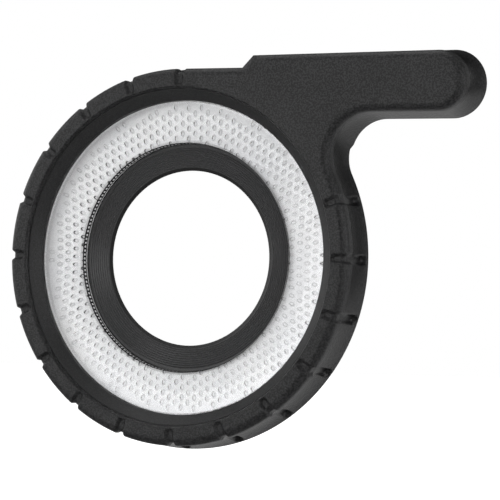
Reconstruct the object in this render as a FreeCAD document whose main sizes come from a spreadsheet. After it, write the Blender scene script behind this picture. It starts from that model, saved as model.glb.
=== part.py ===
import FreeCAD, Part
import math
import os
import Sketcher
from FreeCAD import Placement, Rotation, Vector

# A light guide ring for a compact camera. It locks on the bayonet round the lens. The arm at the upper right
# covers the camera's own LED and leads its light into a clear ring with a white channel behind it.
# Every piece is drawn with its depth measured from the front face. The finished frame has +Z up, the lens
# axis along Y and its origin on that axis where the bayonet flange seats on the camera.

DOC = FreeCAD.newDocument("light_guide_ring")
SHEET = DOC.addObject("Spreadsheet::Sheet", "Sizes")

SIZES = [
    # The ring and its grip. A number drives the model, and a formula follows from other sizes.
    ("grip_radius", 25.48, "outside of the rounded front of the ring"),
    ("ring_depth", "=plate_front + plate_thickness", "front face to the rear edge of the ring"),
    ("wall", 1.3, "side wall of the front cover"),
    ("face_plate", 1.5, "thickness of the face"),
    ("shoulder_round", 1.1, "rounding between face and side"),
    ("crease_front", 2.05, "where the rounded front ends"),
    ("crease_width", 0.6, "length of the crease in depth"),
    ("crease_back", "=crease_front + crease_width", "where the flared side begins"),
    ("crease_inset", 0.35, "depth of the crease between them"),
    ("flare_inset", 0.1, "the flared side's front edge, inside the rounded front"),
    ("flare_reach", 0.56, "its rear edge at the arm, outside the rounded front"),
    ("face_width", 2.83, "from the opening in the face to the outside"),
    ("face_opening", "=grip_radius - face_width", "radius of the round opening in the face"),
    # The arm
    ("tip_reach", 11.96, "centre of the arm's round tip beyond the ring's side"),
    ("tip_drop", 2.08, "that centre below the ring's top"),
    ("tip_radius", 4.0, "half the arm's height at the tip"),
    ("root_back", 14.78, "where the arm's top edge begins, inside the ring's side"),
    ("root_rise", 1.64, "height of the arm's top edge there, above the ring's top"),
    ("tip_x", "=grip_radius + tip_reach", "centre of the arm's round tip"),
    ("tip_z", "=grip_radius - tip_drop", "height of the arm's centre line"),
    ("root_x", "=grip_radius - root_back", "where the arm's top edge begins"),
    ("root_z", "=grip_radius + root_rise", "height of the arm's top edge there"),
    ("step_angle", 46.0, "slant of the step beside the ring's flat top"),
    ("web_radius", 5.7, "hollow curve under the arm"),
    ("arm_extra", 0.5, "how much deeper the arm is than the ring"),
    ("arm_step", 2.02, "where the deeper part begins, outside the ring"),
    ("arm_step_radius", "=grip_radius + arm_step", "distance of that step from the lens axis"),
    # The grip notches
    ("notch_count", 17, "notches round the ring"),
    ("notch_pitch", 18.0, "angle from one notch to the next"),
    ("notch_start", 18.0, "angle of the first notch above the +X side"),
    ("notch_width", 1.2, "width of a notch with its round ends"),
    ("notch_depth", 0.42, "how deep it is cut"),
    ("notch_gap", 0.45, "face left between a notch and the opening"),
    ("notch_inner", "=face_opening + notch_gap", "radius where a notch begins on the face"),
    ("notch_end_gap", 0.5, "wall left between a notch and the rear edge"),
    # The outer bezel
    ("bezel_width", 1.25, "width of the cone"),
    ("bezel_land", 0.19, "flat edge in front of the cone"),
    ("bezel_lip", "=face_opening - bezel_width", "inside of the lip over the clear ring"),
    ("bezel_cone_depth", 2.05, "depth of the cone"),
    ("bezel_edge", 0.65, "thickness of its flange behind the cone"),
    ("bezel_back", "=bezel_cone_depth + bezel_edge", "depth of the bezel's back"),
    ("bezel_hold", 1.25, "how far its flange runs behind the face"),
    ("bezel_flange", "=face_opening + bezel_hold", "radius of its flange"),
    # The clear light guide
    ("lip_gap", 0.18, "gap between the lip and the clear ring"),
    ("window_radius", "=bezel_lip - lip_gap", "outside of the ring that shows"),
    ("clear_width", 5.72, "width of the ring that shows"),
    ("guide_bore", "=window_radius - clear_width", "inside of the ring"),
    ("guide_rise", 0.3, "how far its outside stands in the bezel's lip"),
    ("guide_fall", 0.8, "how far its front falls from the outside to the bore"),
    ("guide_front_outer", "=bezel_back - guide_rise", "depth of its front at the outside"),
    ("guide_front_inner", "=guide_front_outer + guide_fall", "depth of its front at the bore"),
    ("guide_hold", 0.35, "how far its flange runs behind the face"),
    ("guide_flange", "=face_opening + guide_hold", "radius of the flange under the bezel"),
    ("guide_flange_thickness", 1.0, "thickness of that flange"),
    ("guide_flange_back", "=bezel_back + seat + guide_flange_thickness", "depth of that flange's back"),
    ("edge_drop", 0.25, "ring's back at the bore, behind the flange"),
    ("belly_drop", 0.4, "ring's back in the middle, behind the flange"),
    ("guide_edge_back", "=guide_flange_back + edge_drop", "depth of the ring's back at the bore"),
    ("guide_belly", "=guide_flange_back + belly_drop", "depth of the ring's back in the middle"),
    ("bar_height", 3.4, "height of the bar in the arm"),
    ("bar_back", "=guide_belly + seat + reflector_thickness", "depth of the bar's back"),
    ("bar_root", 2.8, "where the bar's top edge turns down to the ring, beyond the arm's root"),
    ("bar_root_x", "=root_x + bar_root", "distance of that corner from the lens axis"),
    ("flare_back", 0.48, "where the bar's lower edge turns down, inside the ring's side"),
    ("flare_x", "=grip_radius - flare_back", "distance of that corner from the lens axis"),
    ("flare_low_angle", 42.0, "lower end of the bar's foot on the ring"),
    ("flare_high_angle", 72.0, "upper end of the bar's foot on the ring"),
    ("inlet_back", 0.54, "light inlet short of the tip's centre"),
    ("inlet_x", "=tip_x - inlet_back", "centre of the light inlet"),
    ("inlet_radius", 1.4, "radius of the inlet boss"),
    ("inlet_recess", 0.1, "inlet face below the arm's back"),
    # The white reflectors
    ("reflector_thickness", 0.4, "thickness of both reflectors"),
    ("reflector_bore", "=guide_bore + reflector_step", "inside of the ring reflector"),
    ("reflector_step", 0.1, "clear edge of the ring that stands inside the reflector"),
    ("reflector_lip", "=guide_flange - fit", "outside of the ring reflector"),
    ("tray_gap", 0.4, "arm's tray clear of the bezel's flange"),
    ("tray_reach", "=bezel_flange + tray_gap", "radius where the arm's tray begins"),
    # The grooved inner bezel
    ("baffle_gap", 0.15, "gap between the clear ring and the grooved cone"),
    ("baffle_radius", "=guide_bore - baffle_gap", "outside of the grooved cone"),
    ("baffle_width", 3.45, "width of the grooved cone"),
    ("lens_radius", "=baffle_radius - baffle_width", "opening for the lens"),
    ("lens_relief", 0.5, "how much wider the opening is at its back"),
    ("lens_edge", 0.1, "straight edge of the opening in front of that"),
    ("baffle_drop", 0.2, "cone's outside behind the clear ring's bore"),
    ("baffle_fall", 0.75, "how far the cone falls from the outside to the opening"),
    ("baffle_front", "=guide_edge_back + baffle_drop", "depth of the cone at the outside"),
    ("baffle_inner", "=baffle_front + baffle_fall", "depth of the cone at the opening"),
    ("baffle_land", 0.5, "plain lip round the opening"),
    ("baffle_rim", 0.25, "plain edge outside the grooves"),
    ("groove_count", 9, "grooves in the cone"),
    ("groove_depth", 0.12, "depth of a groove"),
    ("baffle_hold", 3.1, "how far its flange runs behind the clear ring"),
    ("baffle_flange", "=guide_bore + baffle_hold", "radius of that flange"),
    ("baffle_flange_front", "=bar_back + seat", "depth of that flange's front"),
    ("baffle_edge", 0.6, "thickness of that flange"),
    ("baffle_back", "=baffle_flange_front + baffle_edge", "depth of the bezel's back"),
    # The bayonet
    ("flange_thickness", 0.8, "bayonet flange behind the rear edge"),
    ("flange_inset", 1.38, "flange inside the ring's outside"),
    ("flange_radius", "=grip_radius - flange_inset", "outside of the flange"),
    ("spigot_step", 2.1, "spigot's bore outside the clear ring's"),
    ("spigot_bore", "=guide_bore + spigot_step", "bore that fits over the camera's barrel"),
    ("spigot_wall", 1.2, "wall of the spigot"),
    ("spigot_reach", 2.2, "spigot behind the flange"),
    ("lug_height", 1.4, "lugs above the spigot"),
    ("lug_thickness", 0.9, "lugs in depth"),
    ("lug_angle", 38.0, "how far one lug runs round"),
    ("lug_count", 3, "lugs"),
    ("lock_width", 2.2, "slot for the camera's lock pin"),
    ("lock_length", 1.3, "the same slot, across the flange"),
    ("lock_inset", 1.5, "the slot's middle inside the flange's edge"),
    ("lock_radius", "=flange_radius - lock_inset", "distance of the slot's middle from the lens axis"),
    ("spigot_bevel", 0.3, "lead-in at the spigot's end"),
    # The screws
    ("screw_step", 2.2, "screws outside the spigot"),
    ("screw_circle", "=spigot_bore + spigot_wall + screw_step", "pitch radius of the screws"),
    ("screw_count", 4, "screws"),
    ("screw_angle", 45.0, "angle of the first screw"),
    ("screw_shank", 0.6, "radius of a screw's shank"),
    ("screw_head", 1.15, "radius of a screw's head"),
    ("screw_length", 2.0, "length of a screw"),
    ("drive_width", 0.35, "width of the cross in a head"),
    ("drive_depth", 0.3, "depth of that cross"),
    # The rear cover
    ("rim_thickness", 0.9, "standing rim inside the front cover's wall"),
    ("rim_height", 0.75, "how far the rim stands in front of the plate"),
    ("plate_thickness", 0.85, "thickness of the rear plate"),
    ("plate_front", "=baffle_back + fit", "depth of the rear plate's front"),
    ("rim_front", "=plate_front - rim_height", "depth of the rim's front edge"),
    ("rib_width", 1.0, "width of the rib that holds the reflector"),
    ("rib_ahead", 0.2, "how far the rib stands outside the clear ring"),
    ("rib_outer", "=guide_flange + rib_ahead", "outside of the rib"),
    ("rib_inner", "=rib_outer - rib_width", "inside of the rib"),
    ("rear_opening", "=spigot_bore + spigot_wall + fit", "opening for the spigot"),
    ("boss_radius", 1.15, "radius of a screw boss"),
    ("boss_front", "=baffle_flange_front", "depth of a boss's front end"),
    ("bead_height", 0.18, "height of a snap bead"),
    ("bead_width", 0.4, "length of a bead in depth"),
    ("bead_back", 0.45, "beads' middle ahead of the ring's rear edge"),
    ("bead_depth", "=ring_depth - bead_back", "depth of the beads' middle"),
    ("bead_angle", 14.0, "how far one bead runs round"),
    ("bead_count", 5, "snap beads"),
    ("bead_span", 240.0, "angle from the first bead to the last"),
    # The foam seal
    ("gasket_inner", 1.6, "inside of the foam seal"),
    ("gasket_outer", 2.3, "outside of the foam seal"),
    ("gasket_seat", 0.45, "depth of its seat in the arm's back"),
    # Clearances
    ("seat", 0.05, "gap between pieces that seat on each other"),
    ("fit", 0.1, "gap round pieces that drop in"),
    ("overlap", 0.5, "how far features of one piece run into each other"),
]

for row, (alias, number, note) in enumerate(SIZES, start=1):
    SHEET.set(f"A{row}", note)
    SHEET.set(f"B{row}", str(number))
    SHEET.setAlias(f"B{row}", alias)
DOC.recompute()

# Places that several pieces share, each worked out from the sizes above
GUIDE_FLANGE_FRONT = "(Sizes.bezel_back + Sizes.seat)"
GUIDE_FLANGE_BACK = "Sizes.guide_flange_back"
GUIDE_MIDDLE = "((Sizes.window_radius + Sizes.guide_bore) / 2)"
TRAY_FRONT = "(Sizes.face_plate + Sizes.seat)"
TRAY_GROW = "(Sizes.reflector_thickness + Sizes.fit)"
REST_FRONT = "(Sizes.bar_back + Sizes.seat)"
BAR_END = "(Sizes.inlet_x + Sizes.inlet_radius)"
INLET_HOLE = "(Sizes.inlet_radius + Sizes.fit)"
ARM_DEPTH = "(Sizes.ring_depth + Sizes.arm_extra)"
SEAT_DEPTH = "(Sizes.ring_depth + Sizes.flange_thickness)"
FLANGE_FRONT = "(Sizes.ring_depth + Sizes.seat)"
SPIGOT_OUTER = "(Sizes.spigot_bore + Sizes.spigot_wall)"
SPIGOT_END = f"({SEAT_DEPTH} + Sizes.spigot_reach)"
SPIGOT_FRONT = "(Sizes.baffle_back + Sizes.seat)"
REAR_INSET = "(Sizes.wall + Sizes.fit)"
TURN = 360.0


def value(expression):
    """Number that an expression on the sizes gives now."""
    result = SHEET.evalExpression(expression)
    return float(getattr(result, "Value", result))


def new_body(name):
    """Body for one piece, drawn by depth and placed with the bayonet seat at the origin."""
    body = DOC.addObject("PartDesign::Body", name)
    body.Label = name
    body.setExpression("Placement.Base.y", f"-{SEAT_DEPTH}")
    return body


def plane(body, role):
    return next(item for item in body.Origin.OriginFeatures if item.Role == role)


def new_sketch(body, name, role="XZ_Plane", depth=None):
    """Sketch on one of the body's planes. A face-on sketch may lie at a depth behind the front face."""
    sketch = body.newObject("Sketcher::SketchObject", name)
    sketch.AttachmentSupport = (plane(body, role), [""])
    sketch.MapMode = "FlatFace"
    if depth is not None:
        sketch.setExpression("AttachmentOffset.Base.z", f"-({depth})")
    return sketch


def bind(sketch, kind, places, expression):
    """Adds a constraint whose size follows an expression."""
    index = sketch.addConstraint(Sketcher.Constraint(kind, *places, value(expression)))
    sketch.setExpression(f"Constraints[{index}]", expression)


def fix_point(sketch, point, across, along):
    """Holds a point of the sketch at a place given as expressions."""
    bind(sketch, "DistanceX", (-1, 1, *point), across)
    bind(sketch, "DistanceY", (-1, 1, *point), along)


def polygon(sketch, corners):
    """Closed outline of straight edges through corners, each given as two expressions."""
    first = sketch.GeometryCount
    spots = [Vector(value(across), value(along), 0) for across, along in corners]
    for index, spot in enumerate(spots):
        sketch.addGeometry(Part.LineSegment(spot, spots[(index + 1) % len(spots)]), False)
    for index, (across, along) in enumerate(corners):
        following = first + (index + 1) % len(corners)
        sketch.addConstraint(Sketcher.Constraint("Coincident", first + index, 2, following, 1))
        fix_point(sketch, (first + index, 1), across, along)


def circle(sketch, across, along, radius):
    """Circle with its centre and radius given as expressions."""
    centre = Vector(value(across), value(along), 0)
    index = sketch.addGeometry(Part.Circle(centre, Vector(0, 0, 1), value(radius)), False)
    fix_point(sketch, (index, 3), across, along)
    bind(sketch, "Radius", (index,), radius)


def extrude(body, kind, name, sketch, length, rearward=True):
    """Pad or pocket from a face-on sketch, towards the rear unless it is turned round."""
    feature = body.newObject(f"PartDesign::{kind}", name)
    feature.Profile = sketch
    feature.setExpression("Length", length)
    feature.Reversed = rearward == (kind == "Pad")
    DOC.recompute()
    return feature


def turn(body, kind, name, sketch, angle=None):
    """Revolution or groove of a section about the lens axis."""
    feature = body.newObject(f"PartDesign::{kind}", name)
    feature.Profile = sketch
    feature.ReferenceAxis = (sketch, ["V_Axis"])
    feature.Angle = TURN
    if angle is not None:
        feature.setExpression("Angle", angle)
        feature.Midplane = True
    DOC.recompute()
    return feature


def ring_of(body, name, features, count, span=None):
    """Copies of features set round the lens axis, evenly unless a span is given."""
    pattern = body.newObject("PartDesign::PolarPattern", name)
    pattern.Originals = features
    pattern.Axis = (plane(body, "Y_Axis"), [""])
    pattern.setExpression("Occurrences", count)
    pattern.setExpression("Angle", span if span else "360")
    body.Tip = pattern
    DOC.recompute()
    return pattern


def section(body, name, corners):
    """Sketch of a section in the plane through the lens axis: radius across, depth along."""
    sketch = new_sketch(body, name, "XY_Plane")
    polygon(sketch, corners)
    return sketch


def cover_outline(body, name, depth, inset="0"):
    """Outline of ring and arm, drawn face on and moved inwards by an inset.

    Starting at the top of the ring it runs left round the ring, through the hollow under the arm, along the
    arm's lower edge, round its tip, back along its top edge and down the step to the ring's flat top.
    """
    sketch = new_sketch(body, name, depth=depth)
    ring = f"(Sizes.grip_radius - {inset})"
    hollow = f"(Sizes.web_radius + {inset})"
    tip = f"(Sizes.tip_radius - {inset})"
    ring_r, hollow_r, tip_r = value(ring), value(hollow), value(tip)
    tip_x, tip_z = value("Sizes.tip_x"), value("Sizes.tip_z")
    hollow_z = tip_z - tip_r - hollow_r
    hollow_x = math.sqrt((ring_r + hollow_r) ** 2 - hollow_z ** 2)
    meet = math.atan2(hollow_z, hollow_x)
    # The step runs down to the left from the arm's top edge. Moving it inwards moves both of its corners.
    slant = value("Sizes.step_angle")
    shift = value(inset) * math.tan(math.radians(slant / 2))
    root = Vector(value("Sizes.root_x") + shift, value("Sizes.root_z") - value(inset), 0)
    foot = Vector(root.x - (root.y - ring_r) / math.tan(math.radians(slant)), ring_r, 0)
    lean = math.asin((tip_z + tip_r - root.y) / (tip_x - root.x))
    crest = Vector(tip_x - tip_r * math.sin(lean), tip_z + tip_r * math.cos(lean), 0)
    middle, axis = Vector(0, 0, 0), Vector(0, 0, 1)
    tip_centre = Vector(tip_x, tip_z, 0)
    hollow_centre = Vector(hollow_x, hollow_z, 0)
    low = Vector(tip_x, tip_z - tip_r, 0)
    under = Vector(hollow_x, tip_z - tip_r, 0)
    top = Vector(0, ring_r, 0)
    arcs = [
        Part.ArcOfCircle(Part.Circle(middle, axis, ring_r), math.pi / 2, 2 * math.pi + meet),
        Part.ArcOfCircle(Part.Circle(hollow_centre, axis, hollow_r), math.pi / 2, math.pi + meet),
        Part.LineSegment(under, low),
        Part.ArcOfCircle(Part.Circle(tip_centre, axis, tip_r), -math.pi / 2, math.pi / 2 + lean),
        Part.LineSegment(crest, root),
        Part.LineSegment(root, foot),
        Part.LineSegment(foot, top),
    ]
    for piece in arcs:
        sketch.addGeometry(piece, False)
    ring_arc, hollow_arc, lower, tip_arc, upper, step, flat = range(7)
    joined = Sketcher.Constraint
    for constraint in (
        joined("Coincident", ring_arc, 3, -1, 1),
        joined("Tangent", ring_arc, 2, hollow_arc, 2),
        joined("Tangent", hollow_arc, 1, lower, 1),
        joined("Tangent", lower, 2, tip_arc, 1),
        joined("Tangent", tip_arc, 2, upper, 1),
        joined("Coincident", upper, 2, step, 1),
        joined("Coincident", step, 2, flat, 1),
        joined("Tangent", flat, 2, ring_arc, 1),
        joined("Horizontal", lower),
        joined("Horizontal", flat),
    ):
        sketch.addConstraint(constraint)
    bind(sketch, "Radius", (ring_arc,), ring)
    bind(sketch, "Radius", (hollow_arc,), hollow)
    bind(sketch, "Radius", (tip_arc,), tip)
    bind(sketch, "DistanceX", (-1, 1, tip_arc, 3), "Sizes.tip_x")
    bind(sketch, "DistanceY", (-1, 1, tip_arc, 3), "Sizes.tip_z")
    half_slant = "tan(Sizes.step_angle / 2 * 1deg)"
    bind(sketch, "DistanceX", (-1, 1, step, 1), f"Sizes.root_x + {inset} * {half_slant}")
    bind(sketch, "DistanceY", (-1, 1, step, 1), f"Sizes.root_z - {inset}")
    run = "(Sizes.root_z - Sizes.grip_radius) / tan(Sizes.step_angle * 1deg)"
    bind(sketch, "DistanceX", (-1, 1, step, 2), f"Sizes.root_x + {inset} * {half_slant} - {run}")
    return sketch


def bar_outline(body, name, depth, grow="0"):
    """Outline of the bar that leads the light along the arm, made larger by an amount on every side."""
    half = f"(Sizes.bar_height / 2 + {grow})"
    end = f"Sizes.inlet_x + Sizes.inlet_radius + {grow}"
    low, high = "Sizes.flare_low_angle * 1deg", "Sizes.flare_high_angle * 1deg"
    foot = f"Sizes.window_radius / cos(({high} - {low}) / 2)"
    sketch = new_sketch(body, name, depth=depth)
    polygon(sketch, [
        (end, f"Sizes.tip_z - {half}"),
        (end, f"Sizes.tip_z + {half}"),
        (f"Sizes.bar_root_x - {grow} / 2", f"Sizes.tip_z + {half}"),
        (f"{foot} * cos({high}) - {grow}", f"{foot} * sin({high}) + {grow} / 2"),
        (f"{foot} * cos({low}) + {grow} / 2", f"{foot} * sin({low}) - {grow}"),
        (f"Sizes.flare_x + {grow} / 2", f"Sizes.tip_z - {half}"),
    ])
    return sketch


def edges_of(feature, wanted):
    """Names of a feature's edges that a test picks out."""
    return [f"Edge{number}" for number, edge in enumerate(feature.Shape.Edges, start=1) if wanted(edge)]


def lies_at(edge, depth):
    """Whether an edge lies flat at a depth."""
    box = edge.BoundBox
    return abs(box.YMin - depth) < 0.01 and abs(box.YMax - depth) < 0.01


def starts_a_chain(edge, depth):
    """Picks the edges of the outline's flat top and of its step at a depth."""
    box = edge.BoundBox
    on_top = box.XMin > -0.01 and box.XMax < value("Sizes.root_x + 1")
    return isinstance(edge.Curve, Part.Line) and lies_at(edge, depth) and on_top


def revolved(body, name, corners):
    """Piece or part of a piece that is round about the lens axis."""
    return turn(body, "Revolution", name, section(body, f"{name}_section", corners))


def hump(shift="0"):
    """The rounded back of the clear ring from its outside to its bore, moved rearwards by a shift."""
    outer = f"(Sizes.window_radius + {GUIDE_MIDDLE}) / 2"
    inner = f"(Sizes.guide_bore + {GUIDE_MIDDLE}) / 2"
    return [
        ("Sizes.window_radius", f"{GUIDE_FLANGE_BACK} + {shift}"),
        (outer, f"({GUIDE_FLANGE_BACK} + 3 * Sizes.guide_belly) / 4 + {shift}"),
        (GUIDE_MIDDLE, f"Sizes.guide_belly + {shift}"),
        (inner, f"(Sizes.guide_edge_back + 3 * Sizes.guide_belly) / 4 + {shift}"),
    ]


def make_front_cover():
    """The textured moulding: face, sloping shoulder, notched grip, arm, and the hollow inside."""
    body = new_body("front_cover_block")

    # The flared side. Its slope is a chamfer that the outline's tangent edges pass on to each other, so
    # that naming the flat top and the step is enough.
    flare_outline = cover_outline(body, "flare_outline", "Sizes.crease_back", "(0 - Sizes.flare_reach)")
    side = extrude(body, "Pad", "side", flare_outline, f"{ARM_DEPTH} - Sizes.crease_back")
    flare = body.newObject("PartDesign::Chamfer", "flare")
    flare.Base = (side, edges_of(side, lambda edge: starts_a_chain(edge, value("Sizes.crease_back"))))
    flare.ChamferType = "Two distances"
    flare.setExpression("Size", f"{ARM_DEPTH} - Sizes.crease_back - Sizes.seat")
    flare.setExpression("Size2", "Sizes.flare_inset + Sizes.flare_reach")
    DOC.recompute()

    # The crease and the rounded front
    crease_outline = cover_outline(body, "crease_outline", "Sizes.crease_front", "Sizes.crease_inset")
    extrude(body, "Pad", "crease", crease_outline, "Sizes.crease_back - Sizes.crease_front")
    front_outline = cover_outline(body, "front_outline", "0")
    front = extrude(body, "Pad", "front", front_outline, "Sizes.crease_front")
    rounding = body.newObject("PartDesign::Fillet", "shoulder")
    rounding.Base = (front, edges_of(front, lambda edge: starts_a_chain(edge, 0.0)))
    rounding.setExpression("Radius", "Sizes.shoulder_round")
    DOC.recompute()

    # The ring stops short of the arm's back, so that only the arm reaches the camera's front
    relief = new_sketch(body, "ring_back_circle", depth="Sizes.ring_depth")
    circle(relief, "0", "0", "Sizes.arm_step_radius")
    extrude(body, "Pocket", "ring_back_relief", relief, "Sizes.arm_extra + 1")

    # One hollow runs through ring and arm, and a round opening goes through the face
    hollow = cover_outline(body, "hollow_outline", "Sizes.face_plate", "Sizes.wall")
    extrude(body, "Pocket", "hollow", hollow, ARM_DEPTH)
    opening = new_sketch(body, "opening_circle", depth="-1")
    circle(opening, "0", "0", "Sizes.face_opening")
    extrude(body, "Pocket", "face_opening", opening, "Sizes.face_plate + 2")

    # The rear cover's beads snap into this groove
    bead_half = "(Sizes.bead_width / 2 + Sizes.fit)"
    snap = section(body, "snap_section", [
        ("Sizes.face_opening", f"Sizes.bead_depth - {bead_half}"),
        ("Sizes.grip_radius - Sizes.wall + Sizes.bead_height", f"Sizes.bead_depth - {bead_half}"),
        ("Sizes.grip_radius - Sizes.wall + Sizes.bead_height", f"Sizes.bead_depth + {bead_half}"),
        ("Sizes.face_opening", f"Sizes.bead_depth + {bead_half}"),
    ])
    turn(body, "Groove", "snap_groove", snap)
    return cut_notches(body, "front_cover")


def turned(item, path, axis, angle):
    """Lets a rotation about one axis follow an expression."""
    for name in ("x", "y", "z"):
        item.setExpression(f"{path}.Rotation.Axis.{name}", "1" if name == axis else "0")
    item.setExpression(f"{path}.Rotation.Angle", angle)


def make_notch_cutter():
    """Cutter for one grip notch, as wide all along as its round ends. It follows the face, the shoulder
    and the side at the notch's depth."""
    nose = "(Sizes.notch_width / 2)"
    start = f"(Sizes.notch_inner + {nose})"
    end = f"(Sizes.ring_depth - Sizes.notch_end_gap - {nose})"
    floor = "(Sizes.grip_radius - Sizes.notch_depth)"
    clear = "(Sizes.grip_radius + 2 * Sizes.flare_reach)"
    turn_x, turn_y = "(Sizes.grip_radius - Sizes.shoulder_round)", "Sizes.shoulder_round"
    bend = "(Sizes.shoulder_round - Sizes.notch_depth)"
    outline = DOC.addObject("Sketcher::SketchObject", "notch_outline")
    centre = Vector(value(turn_x), value(turn_y), 0)
    first = Vector(value(start), -value(nose), 0)
    inner = Vector(value(start), value("Sizes.notch_depth"), 0)
    turn_in = centre + Vector(0, -value(bend), 0)
    turn_out = centre + Vector(value(bend), 0, 0)
    low = Vector(value(floor), value(end), 0)
    outer = Vector(value(clear), value(end), 0)
    corner = Vector(value(clear), -value(nose), 0)
    swing = Part.Circle(centre, Vector(0, 0, 1), value(bend))
    for edge in (
        Part.LineSegment(first, inner),
        Part.LineSegment(inner, turn_in),
        Part.ArcOfCircle(swing, -math.pi / 2, 0),
        Part.LineSegment(turn_out, low),
        Part.LineSegment(low, outer),
        Part.LineSegment(outer, corner),
        Part.LineSegment(corner, first),
    ):
        outline.addGeometry(edge, False)
    for index in range(7):
        outline.addConstraint(Sketcher.Constraint("Coincident", index, 2, (index + 1) % 7, 1))
    fix_point(outline, (0, 1), start, f"0 - {nose}")
    fix_point(outline, (1, 1), start, "Sizes.notch_depth")
    fix_point(outline, (2, 3), turn_x, turn_y)
    fix_point(outline, (4, 1), floor, end)
    fix_point(outline, (5, 1), clear, end)
    fix_point(outline, (6, 1), clear, f"0 - {nose}")
    bind(outline, "Radius", (2,), bend)
    bind(outline, "DistanceX", (-1, 1, 2, 1), turn_x)
    bind(outline, "DistanceY", (-1, 1, 2, 2), turn_y)
    DOC.recompute()

    channel = DOC.addObject("Part::Extrusion", "notch_channel")
    channel.Base = outline
    channel.DirMode = "Normal"
    channel.Symmetric = True
    channel.Solid = True
    channel.setExpression("LengthFwd", "Sizes.notch_width")

    # A round end on the face, and one on the side
    face_end = DOC.addObject("Part::Cylinder", "notch_face_end")
    face_end.setExpression("Radius", nose)
    face_end.setExpression("Height", f"Sizes.notch_depth + {nose}")
    turned(face_end, "Placement", "x", "-90")
    face_end.setExpression("Placement.Base.x", start)
    face_end.setExpression("Placement.Base.y", f"0 - {nose}")
    side_end = DOC.addObject("Part::Cylinder", "notch_side_end")
    side_end.setExpression("Radius", nose)
    side_end.setExpression("Height", f"{clear} - {floor}")
    turned(side_end, "Placement", "y", "90")
    side_end.setExpression("Placement.Base.x", floor)
    side_end.setExpression("Placement.Base.y", end)
    cutter = DOC.addObject("Part::MultiFuse", "notch_cutter")
    cutter.Shapes = [channel, face_end, side_end]
    DOC.recompute()
    return cutter


def cut_notches(body, label):
    """Cuts the grip notches all round the body and gives the finished piece its label."""
    cutter = make_notch_cutter()
    cutters = []
    for index in range(int(value("Sizes.notch_count"))):
        copy = DOC.addObject("App::Link", f"notch_{index + 1}")
        copy.LinkedObject = cutter
        turned(copy, "Placement", "y", f"{index} * Sizes.notch_pitch - Sizes.notch_start")
        cutters.append(copy)
    group = DOC.addObject("Part::Compound", "notch_cutters")
    group.Links = cutters
    group.setExpression("Placement.Base.y", f"-{SEAT_DEPTH}")
    piece = DOC.addObject("Part::Cut", "notched_cover")
    piece.Label = label
    piece.Base = body
    piece.Tool = group
    DOC.recompute()
    return piece


def make_outer_bezel():
    """Smooth cone inside the face. Its flange is clamped behind the face plate."""
    body = new_body("outer_bezel")
    outside = "Sizes.face_opening - Sizes.seat"
    flange_front = "Sizes.face_plate + Sizes.seat"
    revolved(body, "cone", [
        (outside, "0"),
        ("Sizes.face_opening - Sizes.bezel_land", "0"),
        ("Sizes.bezel_lip", "Sizes.bezel_cone_depth"),
        ("Sizes.bezel_lip", "Sizes.bezel_back"),
        ("Sizes.bezel_flange", "Sizes.bezel_back"),
        ("Sizes.bezel_flange", flange_front),
        (outside, flange_front),
    ])
    return body


def make_light_guide():
    """Clear moulding: the ring that shows, its flange, the bar in the arm and the boss that takes light."""
    body = new_body("light_guide")
    revolved(body, "clear_ring", [
        ("Sizes.guide_bore", "Sizes.guide_front_inner"),
        ("Sizes.window_radius", "Sizes.guide_front_outer"),
        ("Sizes.window_radius", GUIDE_FLANGE_FRONT),
        ("Sizes.guide_flange", GUIDE_FLANGE_FRONT),
        ("Sizes.guide_flange", GUIDE_FLANGE_BACK),
        *hump(),
        ("Sizes.guide_bore", "Sizes.guide_edge_back"),
    ])
    bar = bar_outline(body, "bar_outline", GUIDE_FLANGE_FRONT)
    extrude(body, "Pad", "bar", bar, f"Sizes.bar_back - {GUIDE_FLANGE_FRONT}")
    inlet = new_sketch(body, "inlet_circle", depth="Sizes.bar_back")
    circle(inlet, "Sizes.inlet_x", "Sizes.tip_z", "Sizes.inlet_radius")
    extrude(body, "Pad", "inlet_boss", inlet, f"{ARM_DEPTH} - Sizes.inlet_recess - Sizes.bar_back")

    # A slanted end turns the light from the inlet into the bar
    facet = section(body, "facet_section", [
        (f"{BAR_END} - (Sizes.bar_back - {GUIDE_FLANGE_FRONT}) - 1", f"{GUIDE_FLANGE_FRONT} - 1"),
        (f"{BAR_END} + 1", f"{GUIDE_FLANGE_FRONT} - 1"),
        (f"{BAR_END} + 1", "Sizes.bar_back + 1"),
    ])
    cut = body.newObject("PartDesign::Pocket", "light_turning_facet")
    cut.Profile = facet
    cut.Midplane = True
    cut.setExpression("Length", "3 * Sizes.tip_z")
    DOC.recompute()
    return body


def make_ring_reflector():
    """White channel that follows the back of the clear ring."""
    body = new_body("ring_reflector")
    front, back = "Sizes.seat", "Sizes.seat + Sizes.reflector_thickness"
    rise = "3 * (Sizes.guide_belly - Sizes.guide_edge_back) / (Sizes.window_radius - Sizes.guide_bore)"
    edge = f"(Sizes.guide_edge_back + {rise} * Sizes.reflector_step)"
    revolved(body, "channel", [
        ("Sizes.reflector_lip", f"{GUIDE_FLANGE_BACK} + {front}"),
        *hump(front),
        ("Sizes.reflector_bore", f"{edge} + {front}"),
        ("Sizes.reflector_bore", f"{edge} + {back}"),
        *reversed(hump(back)),
        ("Sizes.reflector_lip", f"{GUIDE_FLANGE_BACK} + {back}"),
    ])
    gap = bar_outline(body, "bar_gap_outline", "Sizes.bezel_back", "Sizes.fit")
    extrude(body, "Pocket", "bar_gap", gap, "Sizes.ring_depth")
    return body


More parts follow.
